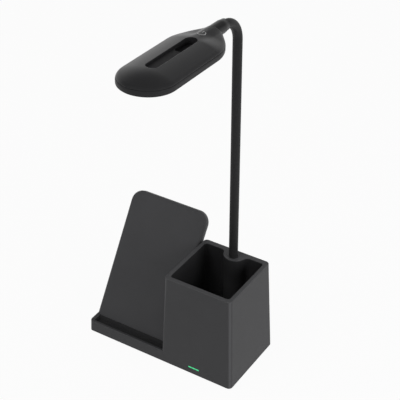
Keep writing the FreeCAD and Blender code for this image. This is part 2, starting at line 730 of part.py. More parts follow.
def stand_front_shell():
    """Moulded front, open at the back, with screw posts and the coil board's standoffs."""
    space = plate_panel("plate_space", "plate_cover_inset + 1.2", "-plate_thick - 1", "-plate_wall")
    seat = plate_panel("cover_seat", "plate_cover_inset", "-plate_thick - 1",
                       "-plate_thick + plate_cover")
    shell = cut("plate_shell", plate_block(), [space, seat])
    height = "plate_thick - plate_cover - plate_wall + 0.5"
    pillars = posts("stand_post", STAND_POSTS, "post_radius", "-plate_thick + plate_cover", height)
    width, depth, left, low = STAND_SHEET
    corners = [(left + x, low + y) for x in (STAND_FOOT_INSET, width - STAND_FOOT_INSET)
               for y in (STAND_FOOT_INSET, depth - STAND_FOOT_INSET)]
    feet = posts("board_foot", corners, "screw_radius", "-plate_wall - ferrite_thick",
                 "ferrite_thick + 0.5")
    solid = fuse("plate_with_posts", [shell] + pillars + feet)
    holes = posts("stand_pilot", STAND_POSTS, "pilot_radius", "-plate_thick + plate_cover - 1",
                  "stand_screw + 1.2")
    slot = box("stand_wire_slot", 8, 30, 3, WIRE_HOLE[0] - 4, 5, "-plate_thick + 2.2")
    return cut("stand_front_shell", solid, holes + [slot])


def stand_back_cover():
    """Flush back cover with a pad that presses the coil to the front."""
    inset = "plate_cover_inset + fit_gap"
    panel = plate_panel("back_panel", inset, "-plate_thick", "-plate_thick + plate_cover")
    pad = cylinder("coil_pad", 12,
                   "plate_thick - 0.5 - plate_wall - coil_thick - ferrite_thick",
                   COIL_PLACE[0], COIL_PLACE[1], "-plate_thick + 0.5")
    holes = posts("stand_hole", STAND_POSTS, "screw_radius + fit_gap", "-plate_thick - 1", 5)
    sinks = posts("stand_sink", STAND_POSTS, "head_radius + fit_gap", "-plate_thick - 1",
                  "head_thick + 1")
    return cut("stand_back_cover", fuse("back_with_pad", [panel, pad]), holes + sinks)


def stand_screws():
    screws = [screw("stand_screw_%d" % n, x, y, "-plate_thick", "stand_screw")
              for n, (x, y) in enumerate(STAND_POSTS, start=1)]
    return compound("stand_screws", screws)


def disc(name, radius, bore, low, thick):
    """A flat ring about the charging coil's centre."""
    outer = cylinder(name + "_outer", radius, thick, COIL_PLACE[0], COIL_PLACE[1], low)
    inner = cylinder(name + "_inner", bore, "2 * (%s)" % thick, COIL_PLACE[0], COIL_PLACE[1],
                     "%s - 0.5 * (%s)" % (low, thick))
    return cut(name, outer, [inner])


def charging_coil():
    return disc("charging_coil", 22, 10, "-plate_wall - coil_thick", "coil_thick")


def ferrite_sheet():
    return disc("ferrite_sheet", 24, 3, "-plate_wall - coil_thick - ferrite_thick",
                "ferrite_thick")


def coil_board():
    """Charger board on its four feet, with its components on the far side."""
    low = "-plate_wall - ferrite_thick - board_thick"
    width, depth, x, y = STAND_SHEET
    shapes = [box("coil_sheet", width, depth, "board_thick", x, y, low)]
    for n, (width, depth, x, y) in enumerate(STAND_BLOCKS, start=1):
        shapes.append(box("coil_block_%d" % n, width, depth, STAND_BLOCK_HEIGHT + 0.5, x, y,
                          "%s - %s" % (low, STAND_BLOCK_HEIGHT)))
    return fuse("coil_board", shapes)


# ---------------------------------------------------------------- arm

BEND_CENTRE = V(size("arm_x"), size("arm_y") - size("bend_radius"),
                size("mat_thick") + size("bend_start"))
BEND_FRAME = Rotation(V(1, 1, 1), 120)
BEND_SWEEP = 90 - size("head_pitch")
FERRULE_HEIGHT = 4.0
STRAIGHT_STATIONS = 7


def on_bend(angle):
    """A point of the arm's centre line on the top bend."""
    turn = math.radians(angle)
    return BEND_CENTRE + V(0, math.cos(turn), math.sin(turn)) * size("bend_radius")


def station(number):
    """Place of a bending station: centre on the axis, Z along the arm; 0 is the lowest."""
    if number < STRAIGHT_STATIONS:
        height = size("mat_thick") + size("first_station") + number * size("station_pitch")
        return Placement(V(size("arm_x"), size("arm_y"), height), Rotation())
    angle = size("bend_station")
    return Placement(on_bend(angle), Rotation(V(1, 0, 0), angle))


def bend_tube(name, radius, first, last):
    """A stretch of the top bend, between two angles from its start."""
    obj = doc.addObject("Part::Torus", name)
    bind(obj, {"Radius1": "bend_radius", "Radius2": radius})
    obj.Angle3 = last - first
    obj.Placement = Placement(BEND_CENTRE, BEND_FRAME * Rotation(V(0, 0, 1), first))
    return obj


def rod(name, radius, place, start, end):
    """A cylinder along a place's Z."""
    obj = doc.addObject("Part::Cylinder", name)
    bind(obj, {"Radius": radius})
    obj.Height = end - start
    obj.Placement = place * Placement(V(0, 0, start), Rotation())
    return obj


def stretch(name, radius, number):
    """Solid rod along the arm from below one station to beyond the next."""
    bend_z = BEND_CENTRE.z
    overlap = 0.4 * size("bend_radius")
    reach = math.degrees(overlap / size("bend_radius"))
    last_straight = STRAIGHT_STATIONS - 1
    if number <= last_straight:
        low = ferrule_top() if number == 0 else station(number - 1).Base.z
        base = Placement(V(size("arm_x"), size("arm_y"), 0), Rotation())
        return rod(name, radius, base, low, station(number).Base.z + overlap)
    if number == STRAIGHT_STATIONS:
        base = Placement(V(size("arm_x"), size("arm_y"), 0), Rotation())
        straight = rod(name + "_straight", radius, base, station(last_straight).Base.z, bend_z)
        bend = bend_tube(name + "_bend", radius, 0, size("bend_station") + reach)
        return fuse(name, [straight, bend])
    bend = bend_tube(name + "_bend", radius, size("bend_station"), BEND_SWEEP)
    neck = rod(name + "_neck", radius, neck_place(), 0, size("collar_length") - 2)
    return fuse(name, [bend, neck])


def neck_place():
    """End of the bend, Z into the neck of the head."""
    return Placement(on_bend(BEND_SWEEP), Rotation(V(1, 0, 0), BEND_SWEEP))


def ferrule_top():
    return (size("mat_thick") + size("base_height") - size("socket_depth") + FERRULE_HEIGHT)


def link(name, number, outer, bore, slack):
    """A link of the arm: ball end at its upper station, hollow end at its lower one."""
    solid = stretch(name + "_rod", outer, number)
    if number <= STRAIGHT_STATIONS:
        upper = station(number)
        ball = sphere(name + "_ball", "cap_radius - %s" % slack, upper)
        block = doc.addObject("Part::Box", name + "_behind")
        side = 4 * size("station_pitch")
        block.Length = block.Width = block.Height = side
        block.Placement = upper * Placement(V(-side / 2, -side / 2, -side), Rotation())
        solid = common(name + "_capped", [solid, fuse(name + "_limit", [ball, block])])
    tools = [stretch(name + "_bore", bore, number)]
    if number > 0:
        tools.append(sphere(name + "_dish", "dish_radius + %s" % slack, station(number - 1)))
    return cut(name, solid, tools)


def gooseneck():
    """Silicone sleeve over a steel core, in lengths between the bending stations."""
    for number in range(STRAIGHT_STATIONS + 2):
        keep("gooseneck_sleeve_%d" % number,
             link("sleeve_%d" % number, number, "sleeve_radius", "core_radius + fit_gap / 4", 0))
        keep("gooseneck_core_%d" % number,
             link("core_%d" % number, number, "core_radius", "core_bore", 0.2))


def arm_end_fitting():
    """Ferrule in the socket with a hollow stud through the web."""
    ferrule = cylinder("ferrule", "sleeve_radius", FERRULE_HEIGHT, "arm_x", "arm_y", SOCKET_Z)
    stud = cylinder("stud", "stud_radius", "web_thick + 10", "arm_x", "arm_y", WEB_Z + " - 10")
    wires = cylinder("stud_bore", "core_bore", 40, "arm_x", "arm_y", WEB_Z + " - 15")
    return cut("arm_end_fitting", fuse("fitting_solid", [ferrule, stud]), [wires])


def arm_lock_washer():
    ring = cylinder("washer_ring", "nut_well_radius - nut_clear", "washer_thick",
                    "arm_x", "arm_y", WEB_Z + " - washer_thick")
    hole = cylinder("washer_hole", "stud_radius + fit_gap / 2", "3 * washer_thick",
                    "arm_x", "arm_y", WEB_Z + " - 2 * washer_thick")
    return cut("arm_lock_washer", ring, [hole])


def arm_lock_nut():
    prism = doc.addObject("Part::Prism", "nut_prism")
    prism.Polygon = 6
    bind(prism, {"Circumradius": "nut_well_radius - nut_clear", "Height": "nut_height"})
    at(prism, "arm_x", "arm_y", WEB_Z + " - washer_thick - nut_height")
    hole = cylinder("nut_hole", "stud_radius", "3 * nut_height", "arm_x", "arm_y",
                    WEB_Z + " - 2 * nut_height")
    return cut("arm_lock_nut", prism, [hole])


# ---------------------------------------------------------------- lamp head
#
# Drawn in its own frame: x = 0 is the plane of symmetry, z = 0 the underside, y = 0 the neck
# end and the nose points to -Y.

HEAD_SCREWS = [(-9.0, -38.0), (9.0, -38.0)]
SHOULDER_SECTIONS = 9
NECK_OVERRUN = 8.0
LOWER_FLOOR = 1.2
CHIP_ROWS = (-9.0, 9.0)
CHIPS_PER_ROW = 10
TOUCH_AHEAD = 35.4
TOUCH_PAD_HEIGHT = 1.85
TOUCH_BOARD_SIDE = 10.0


def head_place():
    """The neck's axis meets the end of the arm's top bend."""
    tilt = Rotation(V(1, 0, 0), -size("head_pitch"))
    return Placement(on_bend(BEND_SWEEP), tilt) * Placement(V(0, 0, -size("neck_radius")), Rotation())


def shoulder_marks():
    """Distances ahead of the neck end: end of the neck blend, start of the shoulder, its end."""
    angle = math.radians(size("shoulder_angle"))
    blend, shoulder = size("neck_blend"), size("shoulder_radius")
    rounds = (blend + shoulder) * (1 - math.cos(angle))
    drop = size("head_half_width") - size("neck_radius") - rounds
    blend_end = size("neck_start") + blend * math.sin(angle)
    line_end = blend_end + drop / math.tan(angle)
    return blend_end, line_end, line_end + shoulder * math.sin(angle)


def half_width(ahead):
    """Half the plan width of the head at a distance ahead of the neck end."""
    blend_end, line_end, side_start = shoulder_marks()
    neck, side = size("neck_radius"), size("head_half_width")
    blend, shoulder = size("neck_blend"), size("shoulder_radius")
    angle = math.radians(size("shoulder_angle"))
    if ahead <= size("neck_start"):
        return neck
    if ahead <= blend_end:
        return neck + blend - math.sqrt(blend ** 2 - (ahead - size("neck_start")) ** 2)
    if ahead <= line_end:
        return neck + blend * (1 - math.cos(angle)) + (ahead - blend_end) * math.tan(angle)
    if ahead < side_start:
        return side - shoulder + math.sqrt(shoulder ** 2 - (side_start - ahead) ** 2)
    return side


def section_sizes(ahead, inset):
    """Half width, underside, top of the upright side, crown and edge radius of a section."""
    neck, side = size("neck_radius"), size("head_half_width")
    width = half_width(ahead)
    slim = (side - width) / (side - neck)
    side_top = size("head_side_top") + slim * (neck - size("head_side_top"))
    edge = size("head_edge") + slim * (0.75 * neck - size("head_edge"))
    bottom = LOWER_FLOOR if inset else 0
    return width - inset, bottom, side_top, size("head_crown") - inset, max(edge - inset, 0.5)


def right_half(ahead, inset):
    """Edges of the right half of a section, from the underside's middle up to the crown."""
    width, bottom, side_top, crown, edge = section_sizes(ahead, inset)
    y = -ahead
    turn = edge * math.sqrt(0.5)
    low, corner = V(width - edge, y, bottom), V(width, y, bottom + edge)
    middle = V(width - edge + turn, y, bottom + edge - turn)
    return [
        Part.LineSegment(V(0, y, bottom), low).toShape(),
        Part.Arc(low, middle, corner).toShape(),
        Part.LineSegment(corner, V(width, y, side_top)).toShape(),
    ] + dome_arcs(width, y, side_top, crown)


def dome_arcs(width, y, side_top, crown):
    """Two tangent arcs from the top of an upright side to the middle of the crown."""
    angle = math.radians(size("crown_turn"))
    height = crown - side_top
    spread = (width - height) / (math.sin(angle) + math.cos(angle) - 1)
    side_radius = width - spread * math.sin(angle)
    top_radius = side_radius + spread
    side_centre = V(width - side_radius, y, side_top)
    top_centre = V(0, y, crown - top_radius)

    def point(centre, radius, turn):
        return centre + V(math.sin(turn), 0, math.cos(turn)) * radius

    join = point(top_centre, top_radius, angle)
    halfway = point(side_centre, side_radius, (angle + math.pi / 2) / 2)
    return [
        Part.Arc(V(width, y, side_top), halfway, join).toShape(),
        Part.Arc(join, point(top_centre, top_radius, angle / 2), V(0, y, crown)).toShape(),
    ]


def section(ahead, inset):
    """Closed outline of the head across its length."""
    half = right_half(ahead, inset)
    mirrored = [edge.mirror(V(0, 0, 0), V(1, 0, 0)) for edge in half]
    return Part.Wire(Part.__sortEdges__(half + mirrored))


def head_form(name, inset, rear):
    """The head's solid form, or its inside: revolved nose, straight sides, lofted shoulders."""
    nose = size("nose_centre")
    side_start = shoulder_marks()[2]
    half = right_half(nose, inset)
    axis = Part.LineSegment(half[-1].Vertexes[-1].Point, half[0].Vertexes[0].Point).toShape()
    profile = Part.Face(Part.Wire(Part.__sortEdges__(half + [axis])))
    tip = profile.revolve(V(0, -nose, 0), V(0, 0, 1), -180)
    sides = Part.Face(section(nose, inset)).extrude(V(0, nose - side_start, 0))
    stop = max(rear, size("neck_start"))
    step = (side_start - stop) / SHOULDER_SECTIONS
    wires = [section(side_start - n * step, inset) for n in range(SHOULDER_SECTIONS + 1)]
    solids = [tip, sides, Part.makeLoft(wires, True, False)]
    if rear < stop:
        solids.append(Part.Face(section(stop, inset)).extrude(V(0, stop - rear, 0)))
    obj = doc.addObject("Part::Feature", name)
    obj.Shape = solids[0].multiFuse(solids[1:]).removeSplitter()
    return obj


def slot_block(name, radius, front, back, low, height):
    """A block with half-round ends about two centres ahead of the neck end."""
    body = new_body(name)
    sketch = new_sketch(body, name + "_outline", "XY_Plane", low)
    up = V(0, 0, 1)
    ahead, behind, start = V(0, -9, 0), V(0, 9, 0), 5
    sketch.addGeometry(Part.ArcOfCircle(Part.Circle(ahead, up, start), math.pi, 2 * math.pi))
    sketch.addGeometry(Part.LineSegment(V(start, -9, 0), V(start, 9, 0)))
    sketch.addGeometry(Part.ArcOfCircle(Part.Circle(behind, up, start), 0, math.pi))
    sketch.addGeometry(Part.LineSegment(V(-start, 9, 0), V(-start, -9, 0)))
    for k in range(4):
        sketch.addConstraint(Sketcher.Constraint("Tangent", k, 2, (k + 1) % 4, 1))
    sketch.addConstraint(Sketcher.Constraint("Equal", 0, 2))
    locate(sketch, 0, 3, "0", "-(%s)" % front)
    locate(sketch, 2, 3, "0", "-(%s)" % back)
    index = sketch.addConstraint(Sketcher.Constraint("Radius", 0, start))
    sketch.setExpression("Constraints[%d]" % index, cell(radius))
    add_feature(body, "Pad", name + "_pad", sketch, {"Length": height})
    return body


def window_block(name, radius, low, height):
    return slot_block(name, radius, "nose_centre", "window_back", low, height)


def along_neck(name, radius, front, back):
    """A cylinder on the neck's axis, from a distance ahead of its end back to another."""
    place = Placement(V(0, -front, size("neck_radius")), Rotation(V(1, 0, 0), -90))
    return rod(name, radius, place, 0, front - back)


def mouth_block(name):
    """All that lies behind the slanted mouth plane."""
    obj = doc.addObject("Part::Box", name)
    obj.Length, obj.Width, obj.Height = 40, 40, 80
    slant = Rotation(V(1, 0, 0), size("mouth_slant"))
    middle = V(0, -size("mouth_front"), size("neck_radius"))
    obj.Placement = Placement(middle, slant) * Placement(V(-20, 0, -40), Rotation())
    return obj


def slab(name, low, height):
    """A level slab larger than the head."""
    return box(name, 80, 200, height, -40, -160, low)


def head_half(name, low, height, tools):
    """The part of the outer form in a slab, hollowed, with the neck's bore and slanted mouth."""
    outer = head_form(name + "_form", 0, -NECK_OVERRUN)
    inner = head_form(name + "_inside", size("head_wall"), size("collar_length") + 2)
    solid = common(name + "_solid", [outer, slab(name + "_slab", low, height)])
    bore = along_neck(name + "_bore", "collar_radius + fit_gap / 4", size("collar_length") + 3,
                      -NECK_OVERRUN - 1)
    return outer, cut(name + "_shell", solid, [inner, bore, mouth_block(name + "_mouth")] + tools)


def head_top_shell():
    """Domed upper shell with a turned-down skirt round the long slot."""
    outer, shell = head_half("top", "head_seam + seam_gap / 2", 20, [])
    ring = slot_block("skirt_block", "slot_radius + 1.2", "slot_front", "slot_back",
                      "head_crown - slot_skirt", 10)
    skirt = common("skirt", [ring, outer])
    low = "head_seam + seam_gap / 2"
    pegs = common("top_pegs", [outer, fuse("peg_block", posts(
        "peg", HEAD_SCREWS, "post_radius", low, 20))])
    solid = fuse("top_with_skirt", [shell, skirt, pegs])
    opening = slot_block("slot_opening", "slot_radius", "slot_front", "slot_back", 0, 20)
    holes = posts("peg_pilot", HEAD_SCREWS, "pilot_radius", low + " - 1", 4.8)
    return cut("head_top_shell", solid, [opening] + holes)


def head_lower_housing():
    """Lower shell: edge band, floor with the light window and two screw bosses."""
    window = window_block("window_opening", "window_radius", -1, 10)
    shell = head_half("lower", -1, "head_seam - seam_gap / 2 + 1", [window])[1]
    bosses = posts("boss", HEAD_SCREWS, "post_radius", LOWER_FLOOR / 2,
                   "head_seam - seam_gap / 2 - %s" % (LOWER_FLOOR / 2))
    solid = fuse("lower_with_bosses", [shell] + bosses)
    holes = posts("boss_hole", HEAD_SCREWS, "screw_radius + fit_gap", -1, 10)
    sinks = posts("boss_sink", HEAD_SCREWS, "head_radius + fit_gap", -1, "head_thick + 1.4")
    return cut("head_lower_housing", solid, holes + sinks)


def head_screws():
    screws = [screw("head_screw_%d" % n, x, y, 0.4, "screw_length + 1.5")
              for n, (x, y) in enumerate(HEAD_SCREWS, start=1)]
    return compound("head_screws", screws)


def head_collar():
    """Metal collar between the neck mouth and the arm."""
    length = size("collar_length")
    ring = along_neck("collar_ring", "collar_radius", length, 0)
    bore = along_neck("collar_bore", "sleeve_radius + fit_gap / 4", length + 1, -1)
    return cut("head_collar", ring, [bore])


def slot_floor():
    """Floor of the slot: shallow from the nose to the step, a deep pocket behind it."""
    under = "head_crown - slot_skirt"
    flange = slot_block("floor_flange", "slot_radius + 2.2", "slot_front", "slot_back",
                        under + " - 1.2", 1.2)
    plug = slot_block("floor_plug", "slot_radius - fit_gap / 2", "slot_front", "slot_back",
                      under + " - 0.5", "slot_skirt - slot_shallow + 0.5")
    well = slot_block("floor_well", "slot_radius + 1", "slot_step + 2", "slot_back",
                      "head_crown - slot_deep - 0.9", "slot_deep + 0.9 - slot_skirt")
    pocket = slot_block("floor_pocket", "slot_radius - 0.3", "slot_step", "slot_back",
                        "head_crown - slot_deep", 10)
    step = box("floor_step", 20, 40, 5, -10, "-slot_step", under)
    return cut("slot_floor", fuse("floor_solid", [flange, plug, well]), [pocket, step])


def light_diffuser():
    """Opal plate: it fills the window and spreads behind its edge."""
    window = window_block("diffuser_window", "window_radius - fit_gap", 0.3, LOWER_FLOOR)
    flange = window_block("diffuser_flange", "window_radius + window_flange", LOWER_FLOOR,
                          "diffuser_thick")
    return fuse("light_diffuser", [window, flange])


def light_reflector():
    """Spacer ring between the diffuser and the board."""
    low = "%s + diffuser_thick" % LOWER_FLOOR
    ring = window_block("reflector_ring", "window_radius + 2", low, "reflector_height")
    space = window_block("reflector_space", "window_radius + 0.6", low + " - 1",
                         "reflector_height + 2")
    return cut("light_reflector", ring, [space])


BOARD_Z = "%s + diffuser_thick + reflector_height" % LOWER_FLOOR


def led_board():
    return window_block("led_board", "window_radius + 2", BOARD_Z, 1)


def led_chips():
    """Two rows of chips on the underside of the board."""
    first, last = size("nose_centre") + 6, size("window_back") - 6
    pitch = (first - last) / (CHIPS_PER_ROW - 1)
    chips = [box("chip_%d_%d" % (row, n), 2.8, 3.5, 0.7, x - 1.4, -first + n * pitch - 1.75,
                 BOARD_Z + " - 0.7")
             for row, x in enumerate(CHIP_ROWS) for n in range(CHIPS_PER_ROW)]
    return compound("led_chips", chips)


def touch_sensor():
    """Soft pad against the crown, on its small board between the screw pegs."""
    low = "head_crown - head_wall - 2"
    pad = cylinder("sensor_pad", 3.5, TOUCH_PAD_HEIGHT, 0, -TOUCH_AHEAD, low)
    board = box("sensor_board", TOUCH_BOARD_SIDE, TOUCH_BOARD_SIDE, 1, -TOUCH_BOARD_SIDE / 2,
                -TOUCH_AHEAD - TOUCH_BOARD_SIDE / 2, low + " - 1")
    return fuse("touch_sensor", [pad, board])


# ---------------------------------------------------------------- the document

BASE = (base_housing, cup_floor, bottom_cover, bottom_screws, anti_slip_mat, ballast_plate,
        main_board, power_socket, indicator_light_pipe, indicator_led, ledge_pad)
STAND = (stand_front_shell, stand_back_cover, stand_screws, charging_coil, ferrite_sheet,
         coil_board)
ARM = (arm_end_fitting, arm_lock_washer, arm_lock_nut)
HEAD = (head_top_shell, head_lower_housing, head_screws, head_collar, slot_floor, light_diffuser,
        light_reflector, led_board, led_chips, touch_sensor)

for make in BASE + ARM:
    keep(make.__name__, make())
for make in STAND:
    keep(make.__name__, make()).Placement = STAND_PLACE
for make in HEAD:
    keep(make.__name__, make()).Placement = head_place()
gooseneck()
doc.recompute()

failed = [obj.Name for obj in doc.Objects if "Invalid" in obj.State or "Error" in obj.State]
failed += [node for node, obj in parts.items() if obj.Shape.isNull() or not obj.Shape.isValid()]
if failed:
    raise RuntimeError("failed: " + ", ".join(failed))

os.makedirs("parts", exist_ok=True)
for node, obj in parts.items():
    obj.Shape.exportStep("parts/%s.step" % node)
print(len(parts), "sub-parts written")
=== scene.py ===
import json
import math

import bmesh
import bpy
from bpy.props import FloatProperty, FloatVectorProperty, IntProperty, PointerProperty
from mathutils import Matrix, Vector
from mathutils.bvhtree import BVHTree


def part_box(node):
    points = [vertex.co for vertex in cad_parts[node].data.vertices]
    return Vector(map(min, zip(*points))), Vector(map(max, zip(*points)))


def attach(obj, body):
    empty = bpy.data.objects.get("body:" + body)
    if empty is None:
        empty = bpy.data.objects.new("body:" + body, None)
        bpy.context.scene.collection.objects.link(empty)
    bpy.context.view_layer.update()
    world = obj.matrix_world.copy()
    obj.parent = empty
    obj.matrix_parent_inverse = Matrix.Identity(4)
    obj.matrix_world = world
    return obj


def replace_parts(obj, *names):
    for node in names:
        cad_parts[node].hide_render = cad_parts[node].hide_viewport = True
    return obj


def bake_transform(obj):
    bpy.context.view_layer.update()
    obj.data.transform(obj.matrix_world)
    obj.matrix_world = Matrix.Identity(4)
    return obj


bl_info = {
    "name": "Gooseneck desk lamp",
    "version": (1, 0, 0),
    "blender": (4, 5, 0),
    "location": "View3D > Sidebar > Desk Lamp",
    "description": "Finishes and soft parts of a gooseneck desk lamp with a pen cup and phone stand",
    "category": "Object",
}

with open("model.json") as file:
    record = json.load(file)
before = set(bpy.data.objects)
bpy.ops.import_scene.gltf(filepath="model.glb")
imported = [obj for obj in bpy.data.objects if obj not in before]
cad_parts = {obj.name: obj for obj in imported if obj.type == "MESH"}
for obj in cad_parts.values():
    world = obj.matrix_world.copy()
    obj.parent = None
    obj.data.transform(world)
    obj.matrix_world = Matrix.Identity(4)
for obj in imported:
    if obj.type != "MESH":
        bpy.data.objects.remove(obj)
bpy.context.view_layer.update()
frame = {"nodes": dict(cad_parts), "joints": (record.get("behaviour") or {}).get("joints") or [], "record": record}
MM = 0.001
JOINTS = frame["joints"]


# CAD nodes that share a finish
STAND_SHELLS = ("stand_front_shell", "stand_back_cover")
INNER_PLASTIC = ("cup_floor", "bottom_cover", "slot_floor")
RUBBER = ("anti_slip_mat", "ledge_pad")
ZINC = ("arm_end_fitting", "arm_lock_washer", "arm_lock_nut", "power_socket")
BOARDS = ("main_board", "coil_board", "led_board", "touch_sensor")
# nodes of screws, each with the body that carries them
SCREWS = {"bottom_screws": "root", "stand_screws": "root", "head_screws": "head"}

# colour of the other mouldings and of the collar against the housing's, and of the rubber
# against the sleeve's
# the stand is the housing's plastic, made lighter as painted light on its face
STAND_PAINTED_LIGHT = 1.35
HEAD_TINT = 0.50
BAND_TINT = 0.46
COLLAR_TINT = 0.14
RUBBER_TINT = 1.3

# pen cup
RIM_ROUND = 0.7 * MM  # edge of the rim
RIM_HIGHLIGHT = 0.5  # strength of the painted highlight on the rim, as a share of an outer edge's
CUP_WALL = 6 * MM  # no wall of the cup is thicker
DARK_DOWN_TO = 15 * MM  # below the rim, the painted shade inside starts to lighten
EVEN_FROM = 60 * MM  # below the rim, the painted shade inside has nearly faded, so the inside is nearly as light as the outside

# gooseneck and collar
BEND_STATION = math.radians(45)  # the last station, along the top bend
BEND_SWEEP = math.radians(88.1)  # the whole top bend
NECK_DEPTH = 24 * MM  # how far the gooseneck runs into the head
WIRE_CHANNEL = 1.7 * MM  # bore of the steel core
LAYER_GAP = 0.05 * MM  # between core, sleeve and collar
COLLAR_RISE = 0.4 * MM  # the collar's middle above the gooseneck's
COLLAR_FLARE = 0.25  # share of the collar's length over which it swells

# head crown, in distances from the neck's end
RIDGE = 1.2 * MM  # half width of the ridge between the two hollows
HOLLOW_START = (11 * MM, 18 * MM)  # the hollows set in between these
HOLLOW_END = (30 * MM, 49 * MM)  # they run out between these
FINE_LENGTH = 58 * MM  # the mesh is refined this far
FINE_EDGE = 1.6 * MM  # to edges no longer than this
FINE_PASSES = 4

# screws, in shares of the head's radius
SCREW_HEAD = 0.52  # thickness
SCREW_SHANK = 0.50  # radius
CROSS_ARM = 0.50  # length of one arm of the recess
CROSS_HALF = 0.11  # half width of an arm
# round of the head: share of its radius, share of its thickness below its top
PAN_ROUND = ((1.0, 0.45), (0.95, 0.18), (0.84, 0.0))
CROSS_DEPTH = 0.75  # share of the head's thickness
CROSS_TAPER = 0.55  # size of the recess's floor against its mouth

# touch mark
MARK_GAP = math.radians(32)  # half the opening of the ring, about its bar
MARK_BAR = (0.25, 1.1)  # ends of the bar, in shares of the ring's radius
INK_THICKNESS = 0.06 * MM

# studio
FRAME_WIDTH = 36  # of the camera, in millimetres
KEY_PLACE = (1.40, -0.10, 0.55)
FILL_PLACE = (-0.45, -1.20, 1.35)
LAMP_AIM = Vector((0, -0.02, 0.12))
LAMP_SIDE = 0.9
FLOOR_HALF = 3.0
FLOOR_DROP = 0.2 * MM  # below the mat, so that the two do not coincide
FLOOR_GLOW = 0.95  # share of the floor that is plain white; the rest keeps the shadow
SCREEN_SIDE = (-0.62, 0.78, 0.0)  # the white walls reach higher on this side
SCREEN_BLEND = (0.30, 0.70)  # how far towards that side a direction has to point
# rise of the directions between which the walls fade into the ceiling
LOW_WALLS = (0.05, 0.40)
HIGH_WALLS = (0.42, 0.68)
OVERHEAD = 0.7  # even light from overhead, against the horizon's


# ------------------------------------------------------------------ settings

class LampFinish(bpy.types.PropertyGroup):
    """Colours and surface values of the lamp's finishes."""

    housing: FloatVectorProperty(
        name="Housing colour", description="Moulded plastic of base, stand and head",
        subtype="COLOR", size=3, min=0, max=1, default=(0.045, 0.045, 0.047))
    inner: FloatVectorProperty(
        name="Inner colour", description="Moulded plastic of the cup floor and slot floor",
        subtype="COLOR", size=3, min=0, max=1, default=(0.018, 0.018, 0.019))
    sleeve: FloatVectorProperty(
        name="Sleeve colour", description="Silicone of the gooseneck",
        subtype="COLOR", size=3, min=0, max=1, default=(0.0165, 0.0165, 0.0170))
    indicator: FloatVectorProperty(
        name="Indicator colour", description="Light of the charging indicator",
        subtype="COLOR", size=3, min=0, max=1, default=(0.02, 0.60, 0.21))
    grain: FloatProperty(
        name="Grain size", description="Width of one grain of the moulded texture",
        subtype="DISTANCE", unit="LENGTH", default=0.00045, min=0.0001)
    roughness: FloatProperty(
        name="Roughness", description="Base roughness of the moulded plastic",
        subtype="FACTOR", default=0.52, min=0, max=1)


class LampArm(bpy.types.PropertyGroup):
    """Build of the gooseneck."""

    sides: IntProperty(
        name="Sides", description="Faces round the sleeve", default=48, min=12)
    ring_pitch: FloatProperty(
        name="Ring pitch", description="Distance between rings of vertices along the arm",
        subtype="DISTANCE", unit="LENGTH", default=0.0015, min=0.0005)
    bend_reach: FloatProperty(
        name="Bend reach", description="Length on each side of a station that takes part in a bend",
        subtype="DISTANCE", unit="LENGTH", default=0.0135, min=0.001)


class LampHead(bpy.types.PropertyGroup):
    """Shape of the head where it runs out into the neck."""

    hollow: FloatProperty(
        name="Shoulder hollow",
        description="How far the crown sinks beside the neck, as a share of its height",
        subtype="FACTOR", default=0.36, min=0, max=0.6)
    hollow_side: FloatProperty(
        name="Hollow from the middle",
        description="Distance from the middle at which the hollow is full",
        subtype="DISTANCE", unit="LENGTH", default=0.0085, min=0.002)
    collar_end: FloatProperty(
        name="Collar end", description="Radius of the collar at its thin end",
        subtype="DISTANCE", unit="LENGTH", default=0.0052, min=0.0045)
    collar_swell: FloatProperty(
        name="Collar swell", description="How much thicker the collar is at the head",
        subtype="DISTANCE", unit="LENGTH", default=0.0007, min=0)


class LampMark(bpy.types.PropertyGroup):
    """The printed mark over the touch switch."""

    radius: FloatProperty(
        name="Ring radius", description="Outer radius of the ring",
        subtype="DISTANCE", unit="LENGTH", default=0.0036, min=0.001)
    line: FloatProperty(
        name="Line width", description="Width of the printed lines",
        subtype="DISTANCE", unit="LENGTH", default=0.00065, min=0.0001)
    colour: FloatVectorProperty(
        name="Print colour", description="Ink of the mark",
        subtype="COLOR", size=3, min=0, max=1, default=(0.40, 0.40, 0.40))


class LampStudio(bpy.types.PropertyGroup):
    """Lights and camera."""

    focal: FloatProperty(
        name="Focal length", description="Lens of the camera, in millimetres on a 36 mm frame",
        default=106.1, min=1)
    azimuth: FloatProperty(
        name="Azimuth", description="Direction of view about Z, 0 looks along +Y",
        subtype="ANGLE", unit="ROTATION", default=math.radians(32.27))
    elevation: FloatProperty(
        name="Elevation", description="How far down the camera looks",
        subtype="ANGLE", unit="ROTATION", default=math.radians(34.22))
    place: FloatVectorProperty(
        name="Camera place", description="Where the camera stands",
        subtype="XYZ", unit="LENGTH", size=3, default=(0.49283, -0.74336, 0.77023))
    ambient: FloatProperty(
        name="Ambient light", description="Strength of the white surroundings at the horizon",
        default=0.45, min=0)
    ceiling: FloatProperty(
        name="Ceiling", description="How light the surroundings are overhead, against the horizon",
        subtype="FACTOR", default=0.15, min=0, max=1)
    key: FloatProperty(
        name="Key light", description="Power of the large lamp on the right",
        subtype="POWER", unit="POWER", default=10.7, min=0)
    fill: FloatProperty(
        name="Fill light", description="Power of the large lamp in front",
        subtype="POWER", unit="POWER", default=9.3, min=0)


SETTINGS = {
    "lamp_finish": LampFinish,
    "lamp_arm": LampArm,
    "lamp_head": LampHead,
    "lamp_mark": LampMark,
    "lamp_studio": LampStudio,
}


# ------------------------------------------------------------------ node materials

def new_material(name):
    """An empty node material with its output and a Principled shader."""
    material = bpy.data.materials.new(name)
    material.use_nodes = True
    tree = material.node_tree
    tree.nodes.clear()
    output = tree.nodes.new("ShaderNodeOutputMaterial")
    shader = tree.nodes.new("ShaderNodeBsdfPrincipled")
    tree.links.new(shader.outputs["BSDF"], output.inputs["Surface"])
    return material, tree, shader


